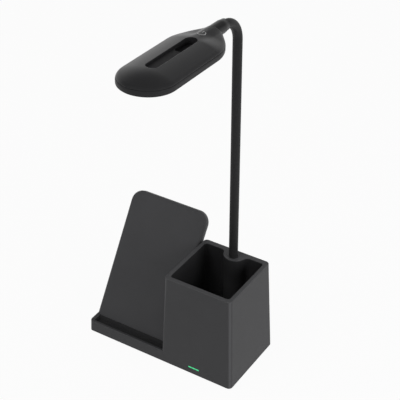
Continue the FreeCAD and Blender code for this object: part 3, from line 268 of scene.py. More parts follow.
def add_coordinates(tree, scale=(1, 1, 1), shift=(0, 0, 0)):
    """The object's own coordinates, scaled and then shifted."""
    coordinates = tree.nodes.new("ShaderNodeTexCoord")
    mapping = tree.nodes.new("ShaderNodeMapping")
    mapping.inputs["Scale"].default_value = scale
    mapping.inputs["Location"].default_value = shift
    tree.links.new(coordinates.outputs["Object"], mapping.inputs["Vector"])
    return mapping.outputs["Vector"]


def add_axis(tree, axis):
    """One of the object's own coordinates."""
    split = tree.nodes.new("ShaderNodeSeparateXYZ")
    tree.links.new(add_coordinates(tree), split.inputs["Vector"])
    return split.outputs[axis]


def add_noise(tree, size, detail=2.0, roughness=0.5, stretch=(1, 1, 1)):
    """Noise over the object's own coordinates with blobs of about the given size."""
    noise = tree.nodes.new("ShaderNodeTexNoise")
    noise.inputs["Scale"].default_value = 1.0
    noise.inputs["Detail"].default_value = detail
    noise.inputs["Roughness"].default_value = roughness
    place = add_coordinates(tree, [factor / size for factor in stretch])
    tree.links.new(place, noise.inputs["Vector"])
    return noise.outputs["Fac"]


def add_range(tree, source, low, high, low_to, high_to):
    """A value mapped from one span to another, clamped."""
    node = tree.nodes.new("ShaderNodeMapRange")
    spans = {"From Min": low, "From Max": high, "To Min": low_to, "To Max": high_to}
    for socket, value in spans.items():
        node.inputs[socket].default_value = value
    tree.links.new(source, node.inputs["Value"])
    return node.outputs["Result"]


def add_mix(tree, factor, first, second):
    """One colour faded into another; each is a socket or three numbers."""
    node = tree.nodes.new("ShaderNodeMix")
    node.data_type = "RGBA"
    tree.links.new(factor, node.inputs["Factor"])
    for socket, colour in ((node.inputs[6], first), (node.inputs[7], second)):
        if isinstance(colour, bpy.types.NodeSocket):
            tree.links.new(colour, socket)
        else:
            socket.default_value = (*colour, 1)
    return node.outputs[2]


def add_dot(tree, first, second):
    """The dot product of two vectors."""
    dot = tree.nodes.new("ShaderNodeVectorMath")
    dot.operation = "DOT_PRODUCT"
    tree.links.new(first, dot.inputs[0])
    tree.links.new(second, dot.inputs[1])
    return dot.outputs["Value"]


def add_product(tree, first, second):
    """Two values multiplied; the second is a socket or a number."""
    node = tree.nodes.new("ShaderNodeMath")
    node.operation = "MULTIPLY"
    tree.links.new(first, node.inputs[0])
    if isinstance(second, bpy.types.NodeSocket):
        tree.links.new(second, node.inputs[1])
    else:
        node.inputs[1].default_value = second
    return node.outputs["Value"]


def add_edges(tree, radius):
    """1 along outer edges and corners and 0 on open surfaces, with the rounded normal."""
    bevel = tree.nodes.new("ShaderNodeBevel")
    bevel.samples = 6
    bevel.inputs["Radius"].default_value = radius
    normal = bevel.outputs["Normal"]
    geometry = tree.nodes.new("ShaderNodeNewGeometry")
    straight = add_dot(tree, normal, geometry.outputs["Normal"])
    return add_range(tree, straight, 0.995, 0.80, 0.0, 1.0), normal


def add_maximum(tree, values):
    """The largest of some values."""
    total = values[0]
    for value in values[1:]:
        node = tree.nodes.new("ShaderNodeMath")
        node.operation = "MAXIMUM"
        tree.links.new(total, node.inputs[0])
        tree.links.new(value, node.inputs[1])
        total = node.outputs["Value"]
    return total


def add_largest(tree, vector):
    """The largest part of a vector, without its sign."""
    plain = tree.nodes.new("ShaderNodeVectorMath")
    plain.operation = "ABSOLUTE"
    tree.links.new(vector, plain.inputs[0])
    split = tree.nodes.new("ShaderNodeSeparateXYZ")
    tree.links.new(plain.outputs["Vector"], split.inputs["Vector"])
    return add_maximum(tree, [split.outputs[axis] for axis in "XYZ"])


def add_corners(tree):
    """1 on the rounds between square faces, 0 on the faces."""
    geometry = tree.nodes.new("ShaderNodeNewGeometry")
    return add_range(tree, add_largest(tree, geometry.outputs["Normal"]), 0.96, 0.78, 0.0, 1.0)


def add_inside(tree, low, high, soft):
    """1 inside a box, 0 outside it."""
    half = (high - low) / 2
    place = add_coordinates(tree, scale=[1 / value for value in half],
                            shift=[-(a + b) / (b - a) for a, b in zip(low, high)])
    edge = soft / min(half)
    return add_range(tree, add_largest(tree, place), 1 - edge, 1 + edge, 1.0, 0.0)


def add_facing_in(tree, centre):
    """1 on walls that face an upright line, 0 on those that face away from it."""
    across = add_coordinates(tree, scale=(1, 1, 0), shift=(-centre.x, -centre.y, 0))
    geometry = tree.nodes.new("ShaderNodeNewGeometry")
    outward = add_dot(tree, across, geometry.outputs["Normal"])
    return add_range(tree, outward, -1 * MM, -4 * MM, 0.0, 1.0)


def add_cup_inside(tree, low, high):
    """1 on the walls inside the cup, given the space that it leaves free."""
    def grown(by):
        margin = Vector((by, by, 0))
        return add_inside(tree, low - margin, high + margin, 0.3 * MM)

    walls = add_product(tree, grown(CUP_WALL), add_facing_in(tree, (low + high) / 2))
    return add_maximum(tree, [walls, grown(0.5 * MM)])


def add_height(tree, first, last, amount):
    """0 at the first height, rising to the amount at the last."""
    return add_range(tree, add_axis(tree, "Z"), first, last, 0.0, amount)


def add_bump(tree, shader, height, strength, depth, normal=None):
    """Bump on a shader, over its plain normal or over the one given."""
    bump = tree.nodes.new("ShaderNodeBump")
    bump.inputs["Strength"].default_value = strength
    bump.inputs["Distance"].default_value = depth
    tree.links.new(height, bump.inputs["Height"])
    if normal is not None:
        tree.links.new(normal, bump.inputs["Normal"])
    tree.links.new(bump.outputs["Normal"], shader.inputs["Normal"])


def tint(colour, factor):
    """A colour made lighter or darker by a factor."""
    return tuple(min(1.0, value * factor) for value in colour)


def moulded_plastic(name, colour, grain, roughness, edge_highlight=1.0, gloss=0.22, cup=None):
    """Spark-eroded plastic: fine even grain, faint clouding, and a painted highlight lightening the edges.

    With cup, the lowest and highest corner of the space in the pen cup, the cup gets painted shade inside,
    mostly near the rim, and the rim and the rounds get the painted highlight too.
    """
    material, tree, shader = new_material(name)
    cloud = add_noise(tree, 60 * grain, 3.0)
    fine = add_noise(tree, grain, 2.0, 0.6)
    edges, soft_normal = add_edges(tree, 0.6 * MM)
    base = add_mix(tree, add_range(tree, cloud, 0.3, 0.7, 0, 1), tint(colour, 0.96), tint(colour, 1.04))
    speck = add_mix(tree, add_range(tree, fine, 0.35, 0.75, 0, 0.3), base, tint(colour, 1.2))
    if cup:
        rim = add_height(tree, cup[1].z - 0.3 * MM, cup[1].z + 0.3 * MM, RIM_HIGHLIGHT)
        edges = add_maximum(tree, [edges, add_corners(tree), rim])
    # painted highlight: edges, rounds and rim lightened towards twice the colour
    with_painted_light = add_mix(tree, add_range(tree, edges, 0, 1, 0, 0.8 * edge_highlight), speck, tint(colour, 2.1))
    if cup:
        # painted shade inside the cup, darkest near the rim
        deep = add_height(tree, cup[1].z - DARK_DOWN_TO, cup[1].z - EVEN_FROM, 1.0)
        shade_inside = add_mix(tree, deep, tint(colour, 0.50), tint(colour, 0.95))
        with_painted_light = add_mix(tree, add_cup_inside(tree, *cup), with_painted_light, shade_inside)
    tree.links.new(with_painted_light, shader.inputs["Base Color"])
    rough = add_range(tree, fine, 0.2, 0.8, roughness - 0.05, roughness + 0.07)
    tree.links.new(rough, shader.inputs["Roughness"])
    shader.inputs["IOR"].default_value = 1.49
    shader.inputs["Specular IOR Level"].default_value = gloss
    add_bump(tree, shader, fine, 0.22, 0.25 * grain, soft_normal)
    return material


def silicone(name, colour):
    """Satin silicone: dusty, slightly streaked along its length."""
    material, tree, shader = new_material(name)
    dust = add_noise(tree, 1.6 * MM, 4.0, 0.6)
    streak = add_noise(tree, 1.2 * MM, 2.0, 0.5, (1, 1, 0.06))
    base = add_mix(tree, add_range(tree, dust, 0.35, 0.8, 0, 0.6), colour, tint(colour, 1.5))
    base = add_mix(tree, add_range(tree, streak, 0.45, 0.8, 0, 0.3), base, tint(colour, 1.35))
    tree.links.new(base, shader.inputs["Base Color"])
    rough = add_range(tree, dust, 0.2, 0.8, 0.42, 0.58)
    tree.links.new(rough, shader.inputs["Roughness"])
    shader.inputs["IOR"].default_value = 1.41
    shader.inputs["Specular IOR Level"].default_value = 0.19
    shader.inputs["Sheen Weight"].default_value = 0.03
    shader.inputs["Sheen Roughness"].default_value = 0.45
    add_bump(tree, shader, dust, 0.15, 0.06 * MM)
    return material


def rolled_metal(name, colour, roughness, stretch=(1, 1, 1)):
    """Metal with fine drawn lines and dull patches."""
    material, tree, shader = new_material(name)
    lines = add_noise(tree, 0.4 * MM, 3.0, 0.6, stretch)
    patch = add_noise(tree, 4 * MM, 2.0)
    base = add_mix(tree, add_range(tree, patch, 0.3, 0.7, 0, 1), tint(colour, 0.86), colour)
    tree.links.new(base, shader.inputs["Base Color"])
    rough = add_range(tree, lines, 0.25, 0.75, roughness - 0.07, roughness + 0.1)
    tree.links.new(rough, shader.inputs["Roughness"])
    shader.inputs["Metallic"].default_value = 1.0
    add_bump(tree, shader, lines, 0.2, 0.03 * MM)
    return material


def satin_paint(name, colour):
    """Painted metal with light orange peel."""
    material, tree, shader = new_material(name)
    peel = add_noise(tree, 0.9 * MM, 1.0)
    base = add_mix(tree, add_range(tree, peel, 0.3, 0.7, 0, 1), tint(colour, 0.92), tint(colour, 1.1))
    tree.links.new(base, shader.inputs["Base Color"])
    rough = add_range(tree, peel, 0.3, 0.7, 0.28, 0.36)
    tree.links.new(rough, shader.inputs["Roughness"])
    shader.inputs["Specular IOR Level"].default_value = 0.28
    add_bump(tree, shader, peel, 0.12, 0.04 * MM)
    return material


def glowing_bar(name, colour):
    """Clear bar lit from behind by three lights, brightest over each of them."""
    material, tree, shader = new_material(name)
    low, high = corners(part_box("indicator_light_pipe"))
    middle = (low.x + high.x) / 2
    lit_half = 6 * MM
    lights = 3
    turn = add_range(tree, add_axis(tree, "X"), middle - lit_half, middle + lit_half,
                     -lights * math.pi, lights * math.pi)
    wave = tree.nodes.new("ShaderNodeMath")
    wave.operation = "COSINE"
    tree.links.new(turn, wave.inputs[0])
    brightest = (colour[0] + 0.03, min(1, colour[1] * 1.2), colour[2] + 0.06)
    glow = add_mix(tree, add_range(tree, wave.outputs["Value"], -1, 1, 0, 1),
                   tint(colour, 0.8), brightest)
    haze = add_noise(tree, 0.7 * MM, 2.0)
    tree.links.new(glow, shader.inputs["Emission Color"])
    shader.inputs["Emission Strength"].default_value = 1.0
    shader.inputs["Base Color"].default_value = (0.02, 0.10, 0.06, 1)
    tree.links.new(add_range(tree, haze, 0.3, 0.7, 0.25, 0.4), shader.inputs["Roughness"])
    return material


def circuit_board(name):
    """Solder mask with darker areas of copper under it."""
    material, tree, shader = new_material(name)
    copper = add_noise(tree, 4 * MM, 1.0)
    fine = add_noise(tree, 0.6 * MM, 2.0)
    base = add_mix(tree, add_range(tree, copper, 0.48, 0.52, 0, 1), (0.010, 0.090, 0.035),
                   (0.018, 0.160, 0.060))
    tree.links.new(base, shader.inputs["Base Color"])
    tree.links.new(add_range(tree, fine, 0.3, 0.7, 0.28, 0.42), shader.inputs["Roughness"])
    add_bump(tree, shader, copper, 0.2, 0.04 * MM)
    return material


def wound_copper(name):
    """Flat coil of enamelled wire: rings about its centre."""
    material, tree, shader = new_material(name)
    low, high = corners(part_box("charging_coil"))
    wave = tree.nodes.new("ShaderNodeTexWave")
    wave.wave_type = "RINGS"
    wave.rings_direction = "SPHERICAL"
    wave.inputs["Scale"].default_value = 300
    tree.links.new(add_coordinates(tree, shift=-(low + high) / 2), wave.inputs["Vector"])
    base = add_mix(tree, wave.outputs["Fac"], (0.20, 0.07, 0.03), (0.65, 0.28, 0.13))
    tree.links.new(base, shader.inputs["Base Color"])
    shader.inputs["Metallic"].default_value = 0.8
    shader.inputs["Roughness"].default_value = 0.35
    add_bump(tree, shader, wave.outputs["Fac"], 0.5, 0.2 * MM)
    return material


def opal_plastic(name):
    """Milky light diffuser, satin on the outside."""
    material, tree, shader = new_material(name)
    milk = add_noise(tree, 6 * MM, 2.0)
    fine = add_noise(tree, 0.4 * MM, 2.0)
    base = add_mix(tree, add_range(tree, milk, 0.3, 0.7, 0, 1), (0.83, 0.83, 0.80), (0.86, 0.86, 0.84))
    tree.links.new(base, shader.inputs["Base Color"])
    tree.links.new(add_range(tree, fine, 0.3, 0.7, 0.34, 0.46), shader.inputs["Roughness"])
    shader.inputs["Subsurface Weight"].default_value = 0.35
    shader.inputs["Subsurface Radius"].default_value = (2 * MM, 2 * MM, 1.8 * MM)
    add_bump(tree, shader, fine, 0.1, 0.03 * MM)
    return material


def dull_ferrite(name):
    """Pressed ferrite: dark, dull and grainy."""
    material, tree, shader = new_material(name)
    grain = add_noise(tree, 0.8 * MM, 3.0)
    base = add_mix(tree, grain, (0.045, 0.045, 0.048), (0.085, 0.085, 0.090))
    tree.links.new(base, shader.inputs["Base Color"])
    tree.links.new(add_range(tree, grain, 0.3, 0.7, 0.6, 0.8), shader.inputs["Roughness"])
    add_bump(tree, shader, grain, 0.3, 0.08 * MM)
    return material


def printed_ink(name, colour):
    """Matt ink or lacquer, slightly patchy."""
    material, tree, shader = new_material(name)
    patchy = add_noise(tree, 0.5 * MM, 2.0)
    base = add_mix(tree, patchy, tint(colour, 0.85), tint(colour, 1.1))
    tree.links.new(base, shader.inputs["Base Color"])
    tree.links.new(add_range(tree, patchy, 0.3, 0.7, 0.45, 0.6), shader.inputs["Roughness"])
    return material


def finish(node, material):
    """Give a CAD node its material."""
    mesh = frame["nodes"][node].data
    mesh.materials.clear()
    mesh.materials.append(material)


# ------------------------------------------------------------------ meshes

def new_piece(name, mesh, material, body, slot):
    """A mesh object in the scene with its finish, on its body if it isn't blended. The slot is not used."""
    mesh.materials.append(material)
    piece = bpy.data.objects.new(name, mesh)
    bpy.context.scene.collection.objects.link(piece)
    if body:
        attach(piece, body)
    return piece


def corners(box):
    """Lowest and highest corner of a box, as vectors."""
    low, high = box
    return Vector(low), Vector(high)


def half_width(box):
    """Radius of an upright tube that fills a box."""
    low, high = corners(box)
    return (high.x - low.x) / 2


def cup_space():
    """Lowest and highest corner of the space in the pen cup, up to the round of its rim."""
    boxes = [opening["box_m"] for opening in frame["record"]["physics"]["openings"]
             if opening["name"].startswith("pen_cup")]
    low = Vector([min(box[0][axis] for box in boxes) for axis in range(3)])
    high = Vector([max(box[1][axis] for box in boxes) for axis in range(3)])
    high.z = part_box("base_housing")[1][2] - RIM_ROUND
    return low, high


def arm_path():
    """The arm's centre line, from the socket's floor up, round the top bend and into the head.

    Returns a function that gives the point and the direction at a distance along it, its length, and
    the distance of the last station, which lies on the bend.
    """
    low, high = corners(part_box("gooseneck_sleeve_0"))
    start = Vector(((low.x + high.x) / 2, (low.y + high.y) / 2, low.z))
    station = Vector(JOINTS[-1]["pos_m"])
    radius = (start.y - station.y) / (1 - math.cos(BEND_STATION))
    centre = Vector((start.x, start.y - radius, station.z - radius * math.sin(BEND_STATION)))
    straight = centre.z - start.z

    def place(distance):
        if distance <= straight:
            return start + Vector((0, 0, distance)), Vector((0, 0, 1))
        angle = min((distance - straight) / radius, BEND_SWEEP)
        out = Vector((0, math.cos(angle), math.sin(angle)))
        along = Vector((0, -math.sin(angle), math.cos(angle)))
        over = max(0.0, distance - straight - radius * BEND_SWEEP)
        return centre + out * radius + along * over, along

    length = straight + radius * BEND_SWEEP + NECK_DEPTH
    return place, length, straight + radius * BEND_STATION


def tube_mesh(name, place, first, last, outer, inner, sides, pitch):
    """A closed pipe along a path between two distances, with sharp end rings.

    The outer radius is a function of the share of the way along.
    """
    steps = max(2, round((last - first) / pitch))
    mesh = bpy.data.meshes.new(name)
    shape = bmesh.new()
    rings = []
    for step in range(steps + 1):
        centre, along = place(first + (last - first) * step / steps)
        side = Vector((1, 0, 0))
        other = along.cross(side).normalized()
        for radius in (outer(step / steps), inner):
            ring = []
            for k in range(sides):
                turn = 2 * math.pi * k / sides
                offset = side * math.cos(turn) + other * math.sin(turn)
                ring.append(shape.verts.new(centre + offset * radius))
            rings.append(ring)
    outside, inside = rings[0::2], rings[1::2]
    for wall, flip in ((outside, False), (inside, True)):
        for lower, upper in zip(wall, wall[1:]):
            join_rings(shape, lower, upper, flip)
    join_rings(shape, inside[0], outside[0], False)
    join_rings(shape, outside[-1], inside[-1], False)
    shape.normal_update()
    for face in shape.faces:
        face.smooth = True
    for ring in (outside[0], inside[0], outside[-1], inside[-1]):
        for a, b in zip(ring, ring[1:] + ring[:1]):
            shape.edges.get((a, b)).smooth = False
    shape.to_mesh(mesh)
    shape.free()
    return mesh


def join_rings(shape, lower, upper, flip):
    """Quads between two rings of as many vertices."""
    for k in range(len(lower)):
        n = (k + 1) % len(lower)
        quad = [lower[k], lower[n], upper[n], upper[k]]
        shape.faces.new(quad[::-1] if flip else quad)


def take_solid(waiting):
    """Vertices of one connected solid, taken out of a table of vertices by number.

    It goes by number, so that each run finds the solids in the same order.
    """
    queue = [waiting.popitem()[1]]
    solid = []
    while queue:
        vertex = queue.pop()
        solid.append(vertex)
        for edge in vertex.link_edges:
            near = waiting.pop(edge.other_vert(vertex).index, None)
            if near:
                queue.append(near)
    return solid


def screw_axis(solid):
    """The direction out of a screw's head."""
    areas = {}
    faces = {face.index: face for vertex in solid for face in vertex.link_faces}
    for face in faces.values():
        key = tuple(round(value, 2) for value in face.normal)
        areas[key] = areas.get(key, 0) + face.calc_area()
    # the head's seat and the shank's tip face inwards, and are the largest area together
    return -Vector(max(areas, key=areas.get)).normalized()


def screw_places(mesh):
    """Each screw of a node: middle of its head's top, outward axis, length and head radius."""
    shape = bmesh.new()
    shape.from_mesh(mesh)
    bmesh.ops.remove_doubles(shape, verts=shape.verts, dist=0.001 * MM)
    shape.verts.index_update()
    shape.faces.index_update()
    waiting = {vertex.index: vertex for vertex in shape.verts}
    places = []
    while waiting:
        solid = take_solid(waiting)
        outward = screw_axis(solid)
        heights = [vertex.co.dot(outward) for vertex in solid]
        top_height = max(heights) - 0.05 * MM
        top = [vertex.co for vertex, height in zip(solid, heights) if height > top_height]
        centre = sum(top, Vector()) / len(top)
        offsets = [vertex.co - centre for vertex in solid]
        wide = max((offset - outward * offset.dot(outward)).length for offset in offsets)
        places.append((centre, outward, max(heights) - min(heights), wide))
    shape.free()
    if not places:
        raise RuntimeError("no screws found")
    return places


def cross_outline(arm, half):
    """Corners of a cross with four like arms, in order."""
    return [Matrix.Rotation(quarter * math.pi / 2, 3, "Z") @ Vector(corner)
            for quarter in range(4)
            for corner in ((arm, -half, 0), (arm, half, 0), (half, half, 0))]


def add_screw(shape, centre, outward, length, wide, sides=32):
    """A pan head with a cross recess on a plain shank."""
    turn = Vector((0, 0, 1)).rotation_difference(outward).to_matrix()
    thick = SCREW_HEAD * wide
    shank = SCREW_SHANK * wide

    def ring(points):
        return [shape.verts.new(centre + turn @ Vector(point)) for point in points]

    profile = [(shank, -length), (shank, -thick), (wide, -thick)]
    profile += [(across * wide, -down * thick) for across, down in PAN_ROUND]
    turns = [2 * math.pi * k / sides for k in range(sides)]
    rings = [ring([(size * math.cos(t), size * math.sin(t), height) for t in turns])
             for size, height in profile]
    for lower, upper in zip(rings, rings[1:]):
        join_rings(shape, lower, upper, False)
    shape.faces.new(rings[0][::-1])
    cross = cross_outline(CROSS_ARM * wide, CROSS_HALF * wide)
    mouth = ring(cross)
    floor = ring([(CROSS_TAPER * x, CROSS_TAPER * y, -CROSS_DEPTH * thick) for x, y, _ in cross])
    edges = []
    for loop in (mouth, rings[-1]):
        for pair in zip(loop, loop[1:] + loop[:1]):
            edges.append(shape.edges.get(pair) or shape.edges.new(pair))
    bmesh.ops.triangle_fill(shape, edges=edges, use_beauty=True, normal=outward)
    join_rings(shape, floor, mouth, True)
    shape.faces.new(floor)


def screw_mesh(name, places):
    """All the screws of a node as one mesh."""
    mesh = bpy.data.meshes.new(name)
    shape = bmesh.new()
    for place in places:
        add_screw(shape, *place)
    bmesh.ops.recalc_face_normals(shape, faces=shape.faces)
    shape.to_mesh(mesh)
    shape.free()
    return mesh


def ease(value, low, high):
    """0 below low, 1 above high, and a smooth step between them."""
    share = min(1.0, max(0.0, (value - low) / (high - low)))
    return share * share * (3 - 2 * share)


def hollow_crown(source, values):
    """A copy of the top shell whose shoulders sink beside the neck, towards its parting plane.

    The shell's exact normals ride along, turned by the slope that the sinking adds.
    """
    low, high = corners(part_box("head_top_shell"))
    middle = (low.x + high.x) / 2
    neck = corners(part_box("head_collar"))[1].y

    def keep(x, y):
        """Share of its height above the parting plane that a point keeps."""
        inward = neck - y
        side = ease(abs(x - middle), RIDGE, values.hollow_side)
        along = ease(inward, *HOLLOW_START) * (1 - ease(inward, *HOLLOW_END))
        return 1 - values.hollow * side * along

    mesh = source.copy()
    mesh.name = "head_crown"
    exact = mesh.attributes.new("exact_normal", "FLOAT_VECTOR", "CORNER")
    for item, normal in zip(exact.data, source.corner_normals):
        item.vector = normal.vector
    shape = bmesh.new()
    shape.from_mesh(mesh)
    for _ in range(FINE_PASSES):
        coarse = [edge for edge in shape.edges if edge.calc_length() > FINE_EDGE
                  and max(vertex.co.y for vertex in edge.verts) > neck - FINE_LENGTH]
        if coarse:
            bmesh.ops.subdivide_edges(shape, edges=coarse, cuts=1, use_grid_fill=True)
    bmesh.ops.triangulate(shape, faces=[face for face in shape.faces if len(face.verts) > 4])
    layer = shape.loops.layers.float_vector["exact_normal"]
    step = 0.02 * MM
    for vertex in shape.verts:
        x, y, height = vertex.co.x, vertex.co.y, vertex.co.z - low.z
        share = keep(x, y)
        slope_x = height * (keep(x + step, y) - share) / step
        slope_y = height * (keep(x, y + step) - share) / step
        vertex.co.z = low.z + height * share
        for loop in vertex.link_loops:
            normal = loop[layer]
            loop[layer] = Vector((normal.x - slope_x / share * normal.z,
                                  normal.y - slope_y / share * normal.z,
                                  normal.z / share)).normalized()
    shape.to_mesh(mesh)
    shape.free()
    mesh.normals_split_custom_set([item.vector for item in mesh.attributes["exact_normal"].data])
    mesh.attributes.remove(mesh.attributes["exact_normal"])
    mesh.materials.clear()
    return mesh


def add_strip(shape, rows):
    """A printed strip: quads between rows of two points."""
    pairs = [[shape.verts.new(point) for point in row] for row in rows]
    for (a, b), (c, d) in zip(pairs, pairs[1:]):
        shape.faces.new((a, b, d, c))


def steps_between(first, last, steps):
    """Evenly spaced values from the first to the last."""
    return [first + (last - first) * step / steps for step in range(steps + 1)]


# ------------------------------------------------------------------ operators

class LAMP_OT_housing(bpy.types.Operator):
    """Finish the base, the phone stand and the head's shells, and build the head's crown"""

    bl_idname = "lamp.housing"
    bl_label = "Housing"

    def execute(self, context):
        values = context.scene.lamp_finish
        shell = moulded_plastic("charcoal_moulding", values.housing, values.grain,
                                values.roughness, cup=cup_space())
        finish("base_housing", shell)
        # painted light: the stand's plastic lightened above the housing's
        stand = moulded_plastic("stand_moulding", tint(values.housing, STAND_PAINTED_LIGHT), values.grain,
                                values.roughness)
        for node in STAND_SHELLS:
            finish(node, stand)
        head = moulded_plastic("head_moulding", tint(values.housing, HEAD_TINT), 0.8 * values.grain,
                               values.roughness - 0.20, edge_highlight=0.5, gloss=0.26)
        band = moulded_plastic("head_band_moulding", tint(values.housing, BAND_TINT),
                               0.8 * values.grain, values.roughness - 0.08, edge_highlight=0.5, gloss=0.14)
        finish("head_lower_housing", band)
        mesh = hollow_crown(frame["nodes"]["head_top_shell"].data, context.scene.lamp_head)
        crown = new_piece("head_crown", mesh, head, "head", "housing_plastic")
        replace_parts(crown, "head_top_shell")
        inner = moulded_plastic("inner_moulding", values.inner, values.grain, 0.62, edge_highlight=0.4)
        for node in INNER_PLASTIC:
            finish(node, inner)
        return {"FINISHED"}


class LAMP_OT_small_parts(bpy.types.Operator):
    """Finish the rubber, metal, light and circuit parts"""

    bl_idname = "lamp.small_parts"
    bl_label = "Small parts"

    def execute(self, context):
        values = context.scene.lamp_finish
        rubber = silicone("grip_silicone", tint(values.sleeve, RUBBER_TINT))
        for node in RUBBER:
            finish(node, rubber)
        zinc = rolled_metal("zinc_plate", (0.62, 0.63, 0.65), 0.33)
        for node in ZINC:
            finish(node, zinc)
        board = circuit_board("solder_mask")
        for node in BOARDS:
            finish(node, board)
        finish("ballast_plate", rolled_metal("rolled_steel", (0.30, 0.30, 0.31), 0.5, (1, 0.1, 1)))
        finish("indicator_light_pipe", glowing_bar("indicator_glow", values.indicator))
        finish("indicator_led", printed_ink("white_board", (0.7, 0.7, 0.68)))
        finish("charging_coil", wound_copper("coil_wire"))
        finish("ferrite_sheet", dull_ferrite("ferrite_grey"))
        finish("light_diffuser", opal_plastic("opal_diffuser"))
        finish("light_reflector", printed_ink("white_reflector", (0.8, 0.8, 0.79)))
        finish("led_chips", printed_ink("phosphor", (0.80, 0.62, 0.10)))
        return {"FINISHED"}


class LAMP_OT_gooseneck(bpy.types.Operator):
    """Build the unbroken sleeve and core of the gooseneck, in one length for each station"""

    bl_idname = "lamp.gooseneck"
    bl_label = "Gooseneck"

    def execute(self, context):
        values = context.scene.lamp_arm
        place, length, last_station = arm_path()
        foot = place(0)[0].z
        # distance along the arm of each station, and of the cut half way between two of them
        marks = [joint["pos_m"][2] - foot for joint in JOINTS[:-1]] + [last_station]
        cuts = [0.0] + [(a + b) / 2 for a, b in zip(marks, marks[1:])] + [length]
        sleeve = half_width(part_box("gooseneck_sleeve_0"))
        core = half_width(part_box("gooseneck_core_0"))
        rubber = silicone("arm_silicone", context.scene.lamp_finish.sleeve)
        steel = rolled_metal("spring_steel", (0.42, 0.42, 0.43), 0.35, (1, 1, 6))
        layers = (
            ("sleeve", sleeve, core + LAYER_GAP, rubber, "sleeve_silicone", "gooseneck_sleeve_%d"),
            ("core", core, WIRE_CHANNEL, steel, "core_steel", "gooseneck_core_%d"),
        )
        for layer, wide, bore, material, slot, node in layers:
            for number, mark in enumerate(marks):
                name = "%s_length_%d" % (layer, number + 1)
                mesh = tube_mesh(name, place, cuts[number], cuts[number + 1],
                                 lambda share, radius=wide: radius, bore,
                                 values.sides, values.ring_pitch)
                piece = new_piece(name, mesh, material, None, slot)
                reach = min(values.bend_reach, length - mark)
                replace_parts(piece, node % number)
                if number == len(JOINTS) - 1:
                    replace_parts(piece, node % (number + 1))
                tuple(place(mark - reach)[0])
                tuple(place(mark + reach)[0])
                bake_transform(piece)
        return {"FINISHED"}


class LAMP_OT_collar(bpy.types.Operator):
    """Build the collar that swells from the gooseneck into the head"""

    bl_idname = "lamp.collar"
    bl_label = "Collar"

    def execute(self, context):
        values = context.scene.lamp_head
        tube = context.scene.lamp_arm
        place, length, _ = arm_path()
        low, high = corners(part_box("head_collar"))
        first = length - NECK_DEPTH
        span = high.y - low.y
        bore = half_width(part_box("gooseneck_sleeve_0")) + LAYER_GAP

        def outer(share):
            return values.collar_end + values.collar_swell * ease(share, 0.0, COLLAR_FLARE)

        def raised(distance):
            centre, along = place(distance)
            return centre + Vector((0, 0, COLLAR_RISE)), along

        mesh = tube_mesh("head_collar_swell", raised, first, first + span, outer, bore,
                         tube.sides, tube.ring_pitch)
        paint = satin_paint("collar_paint", tint(context.scene.lamp_finish.housing, COLLAR_TINT))
        piece = new_piece("head_collar_swell", mesh, paint, "head", "collar_metal")
        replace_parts(piece, "head_collar")
        return {"FINISHED"}


class LAMP_OT_screws(bpy.types.Operator):
    """Build the cross-recessed screws of the base, the stand and the head"""

    bl_idname = "lamp.screws"
    bl_label = "Screws"

    def execute(self, context):
        zinc = rolled_metal("screw_zinc", (0.60, 0.61, 0.63), 0.30)
        for node, body in SCREWS.items():
            name = node + "_crossed"
            mesh = screw_mesh(name, screw_places(frame["nodes"][node].data))
            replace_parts(new_piece(name, mesh, zinc, body, "zinc_steel"), node)
        return {"FINISHED"}


class LAMP_OT_touch_mark(bpy.types.Operator):
    """Print the switch mark on the head, over the touch sensor"""

    bl_idname = "lamp.touch_mark"
    bl_label = "Touch mark"

    def execute(self, context):
        values = context.scene.lamp_mark
        low, high = corners(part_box("touch_sensor"))
        centre = (low + high) / 2
        crown = BVHTree.FromObject(bpy.data.objects["head_crown"],
                                   context.evaluated_depsgraph_get())

        def on_crown(x, y):
            """The point of the crown straight above the sensor's middle, moved by x and y."""
            above = centre + Vector((x, y, 50 * MM))
            hit = crown.ray_cast(above, Vector((0, 0, -1)))[0]
            if hit is None:
                raise RuntimeError("the touch mark misses the head")
            return hit + Vector((0, 0, INK_THICKNESS))

        mesh = bpy.data.meshes.new("touch_mark")
        shape = bmesh.new()
        angles = steps_between(math.pi / 2 + MARK_GAP, 2.5 * math.pi - MARK_GAP, steps=48)
        add_strip(shape, [[on_crown(math.cos(angle) * radius, math.sin(angle) * radius)
                           for radius in (values.radius - values.line, values.radius)]
                          for angle in angles])
        front, back = (share * values.radius for share in MARK_BAR)
        add_strip(shape, [[on_crown(side * values.line / 2, y) for side in (-1, 1)]
                          for y in steps_between(front, back, steps=6)])
        shape.to_mesh(mesh)
        shape.free()
        new_piece("touch_mark", mesh, printed_ink("mark_ink", values.colour), "head",
                  "white_plastic")
        return {"FINISHED"}


class LAMP_OT_stage(bpy.types.Operator):
    """Set up the floor, the soft lights and the camera"""

    bl_idname = "lamp.stage"
    bl_label = "Studio"

    def execute(self, context):
        values = context.scene.lamp_studio
        scene = context.scene
        scene.view_settings.view_transform = "Standard"
        add_floor()
        add_surroundings(scene, values.ambient, values.ceiling)
        add_lamp("key_light", KEY_PLACE, values.key)
        add_lamp("fill_light", FILL_PLACE, values.fill)
        camera = bpy.data.cameras.new("camera")
        camera.lens = values.focal
        camera.sensor_width = FRAME_WIDTH
        camera.clip_end = 20
        holder = bpy.data.objects.new("camera", camera)
        scene.collection.objects.link(holder)
        holder.location = values.place
        holder.rotation_euler = (math.pi / 2 - values.elevation, 0, values.azimuth)
        scene.camera = holder
        return {"FINISHED"}


def add_lamp(name, place, power):
    """A large square lamp aimed at the object, left out of its reflections."""
    light = bpy.data.lights.new(name, "AREA")
    light.size = LAMP_SIDE
    light.energy = power
    holder = bpy.data.objects.new(name, light)
    bpy.context.scene.collection.objects.link(holder)
    holder.location = place
    holder.rotation_euler = (LAMP_AIM - Vector(place)).to_track_quat("-Z", "Y").to_euler()
    holder.visible_glossy = False


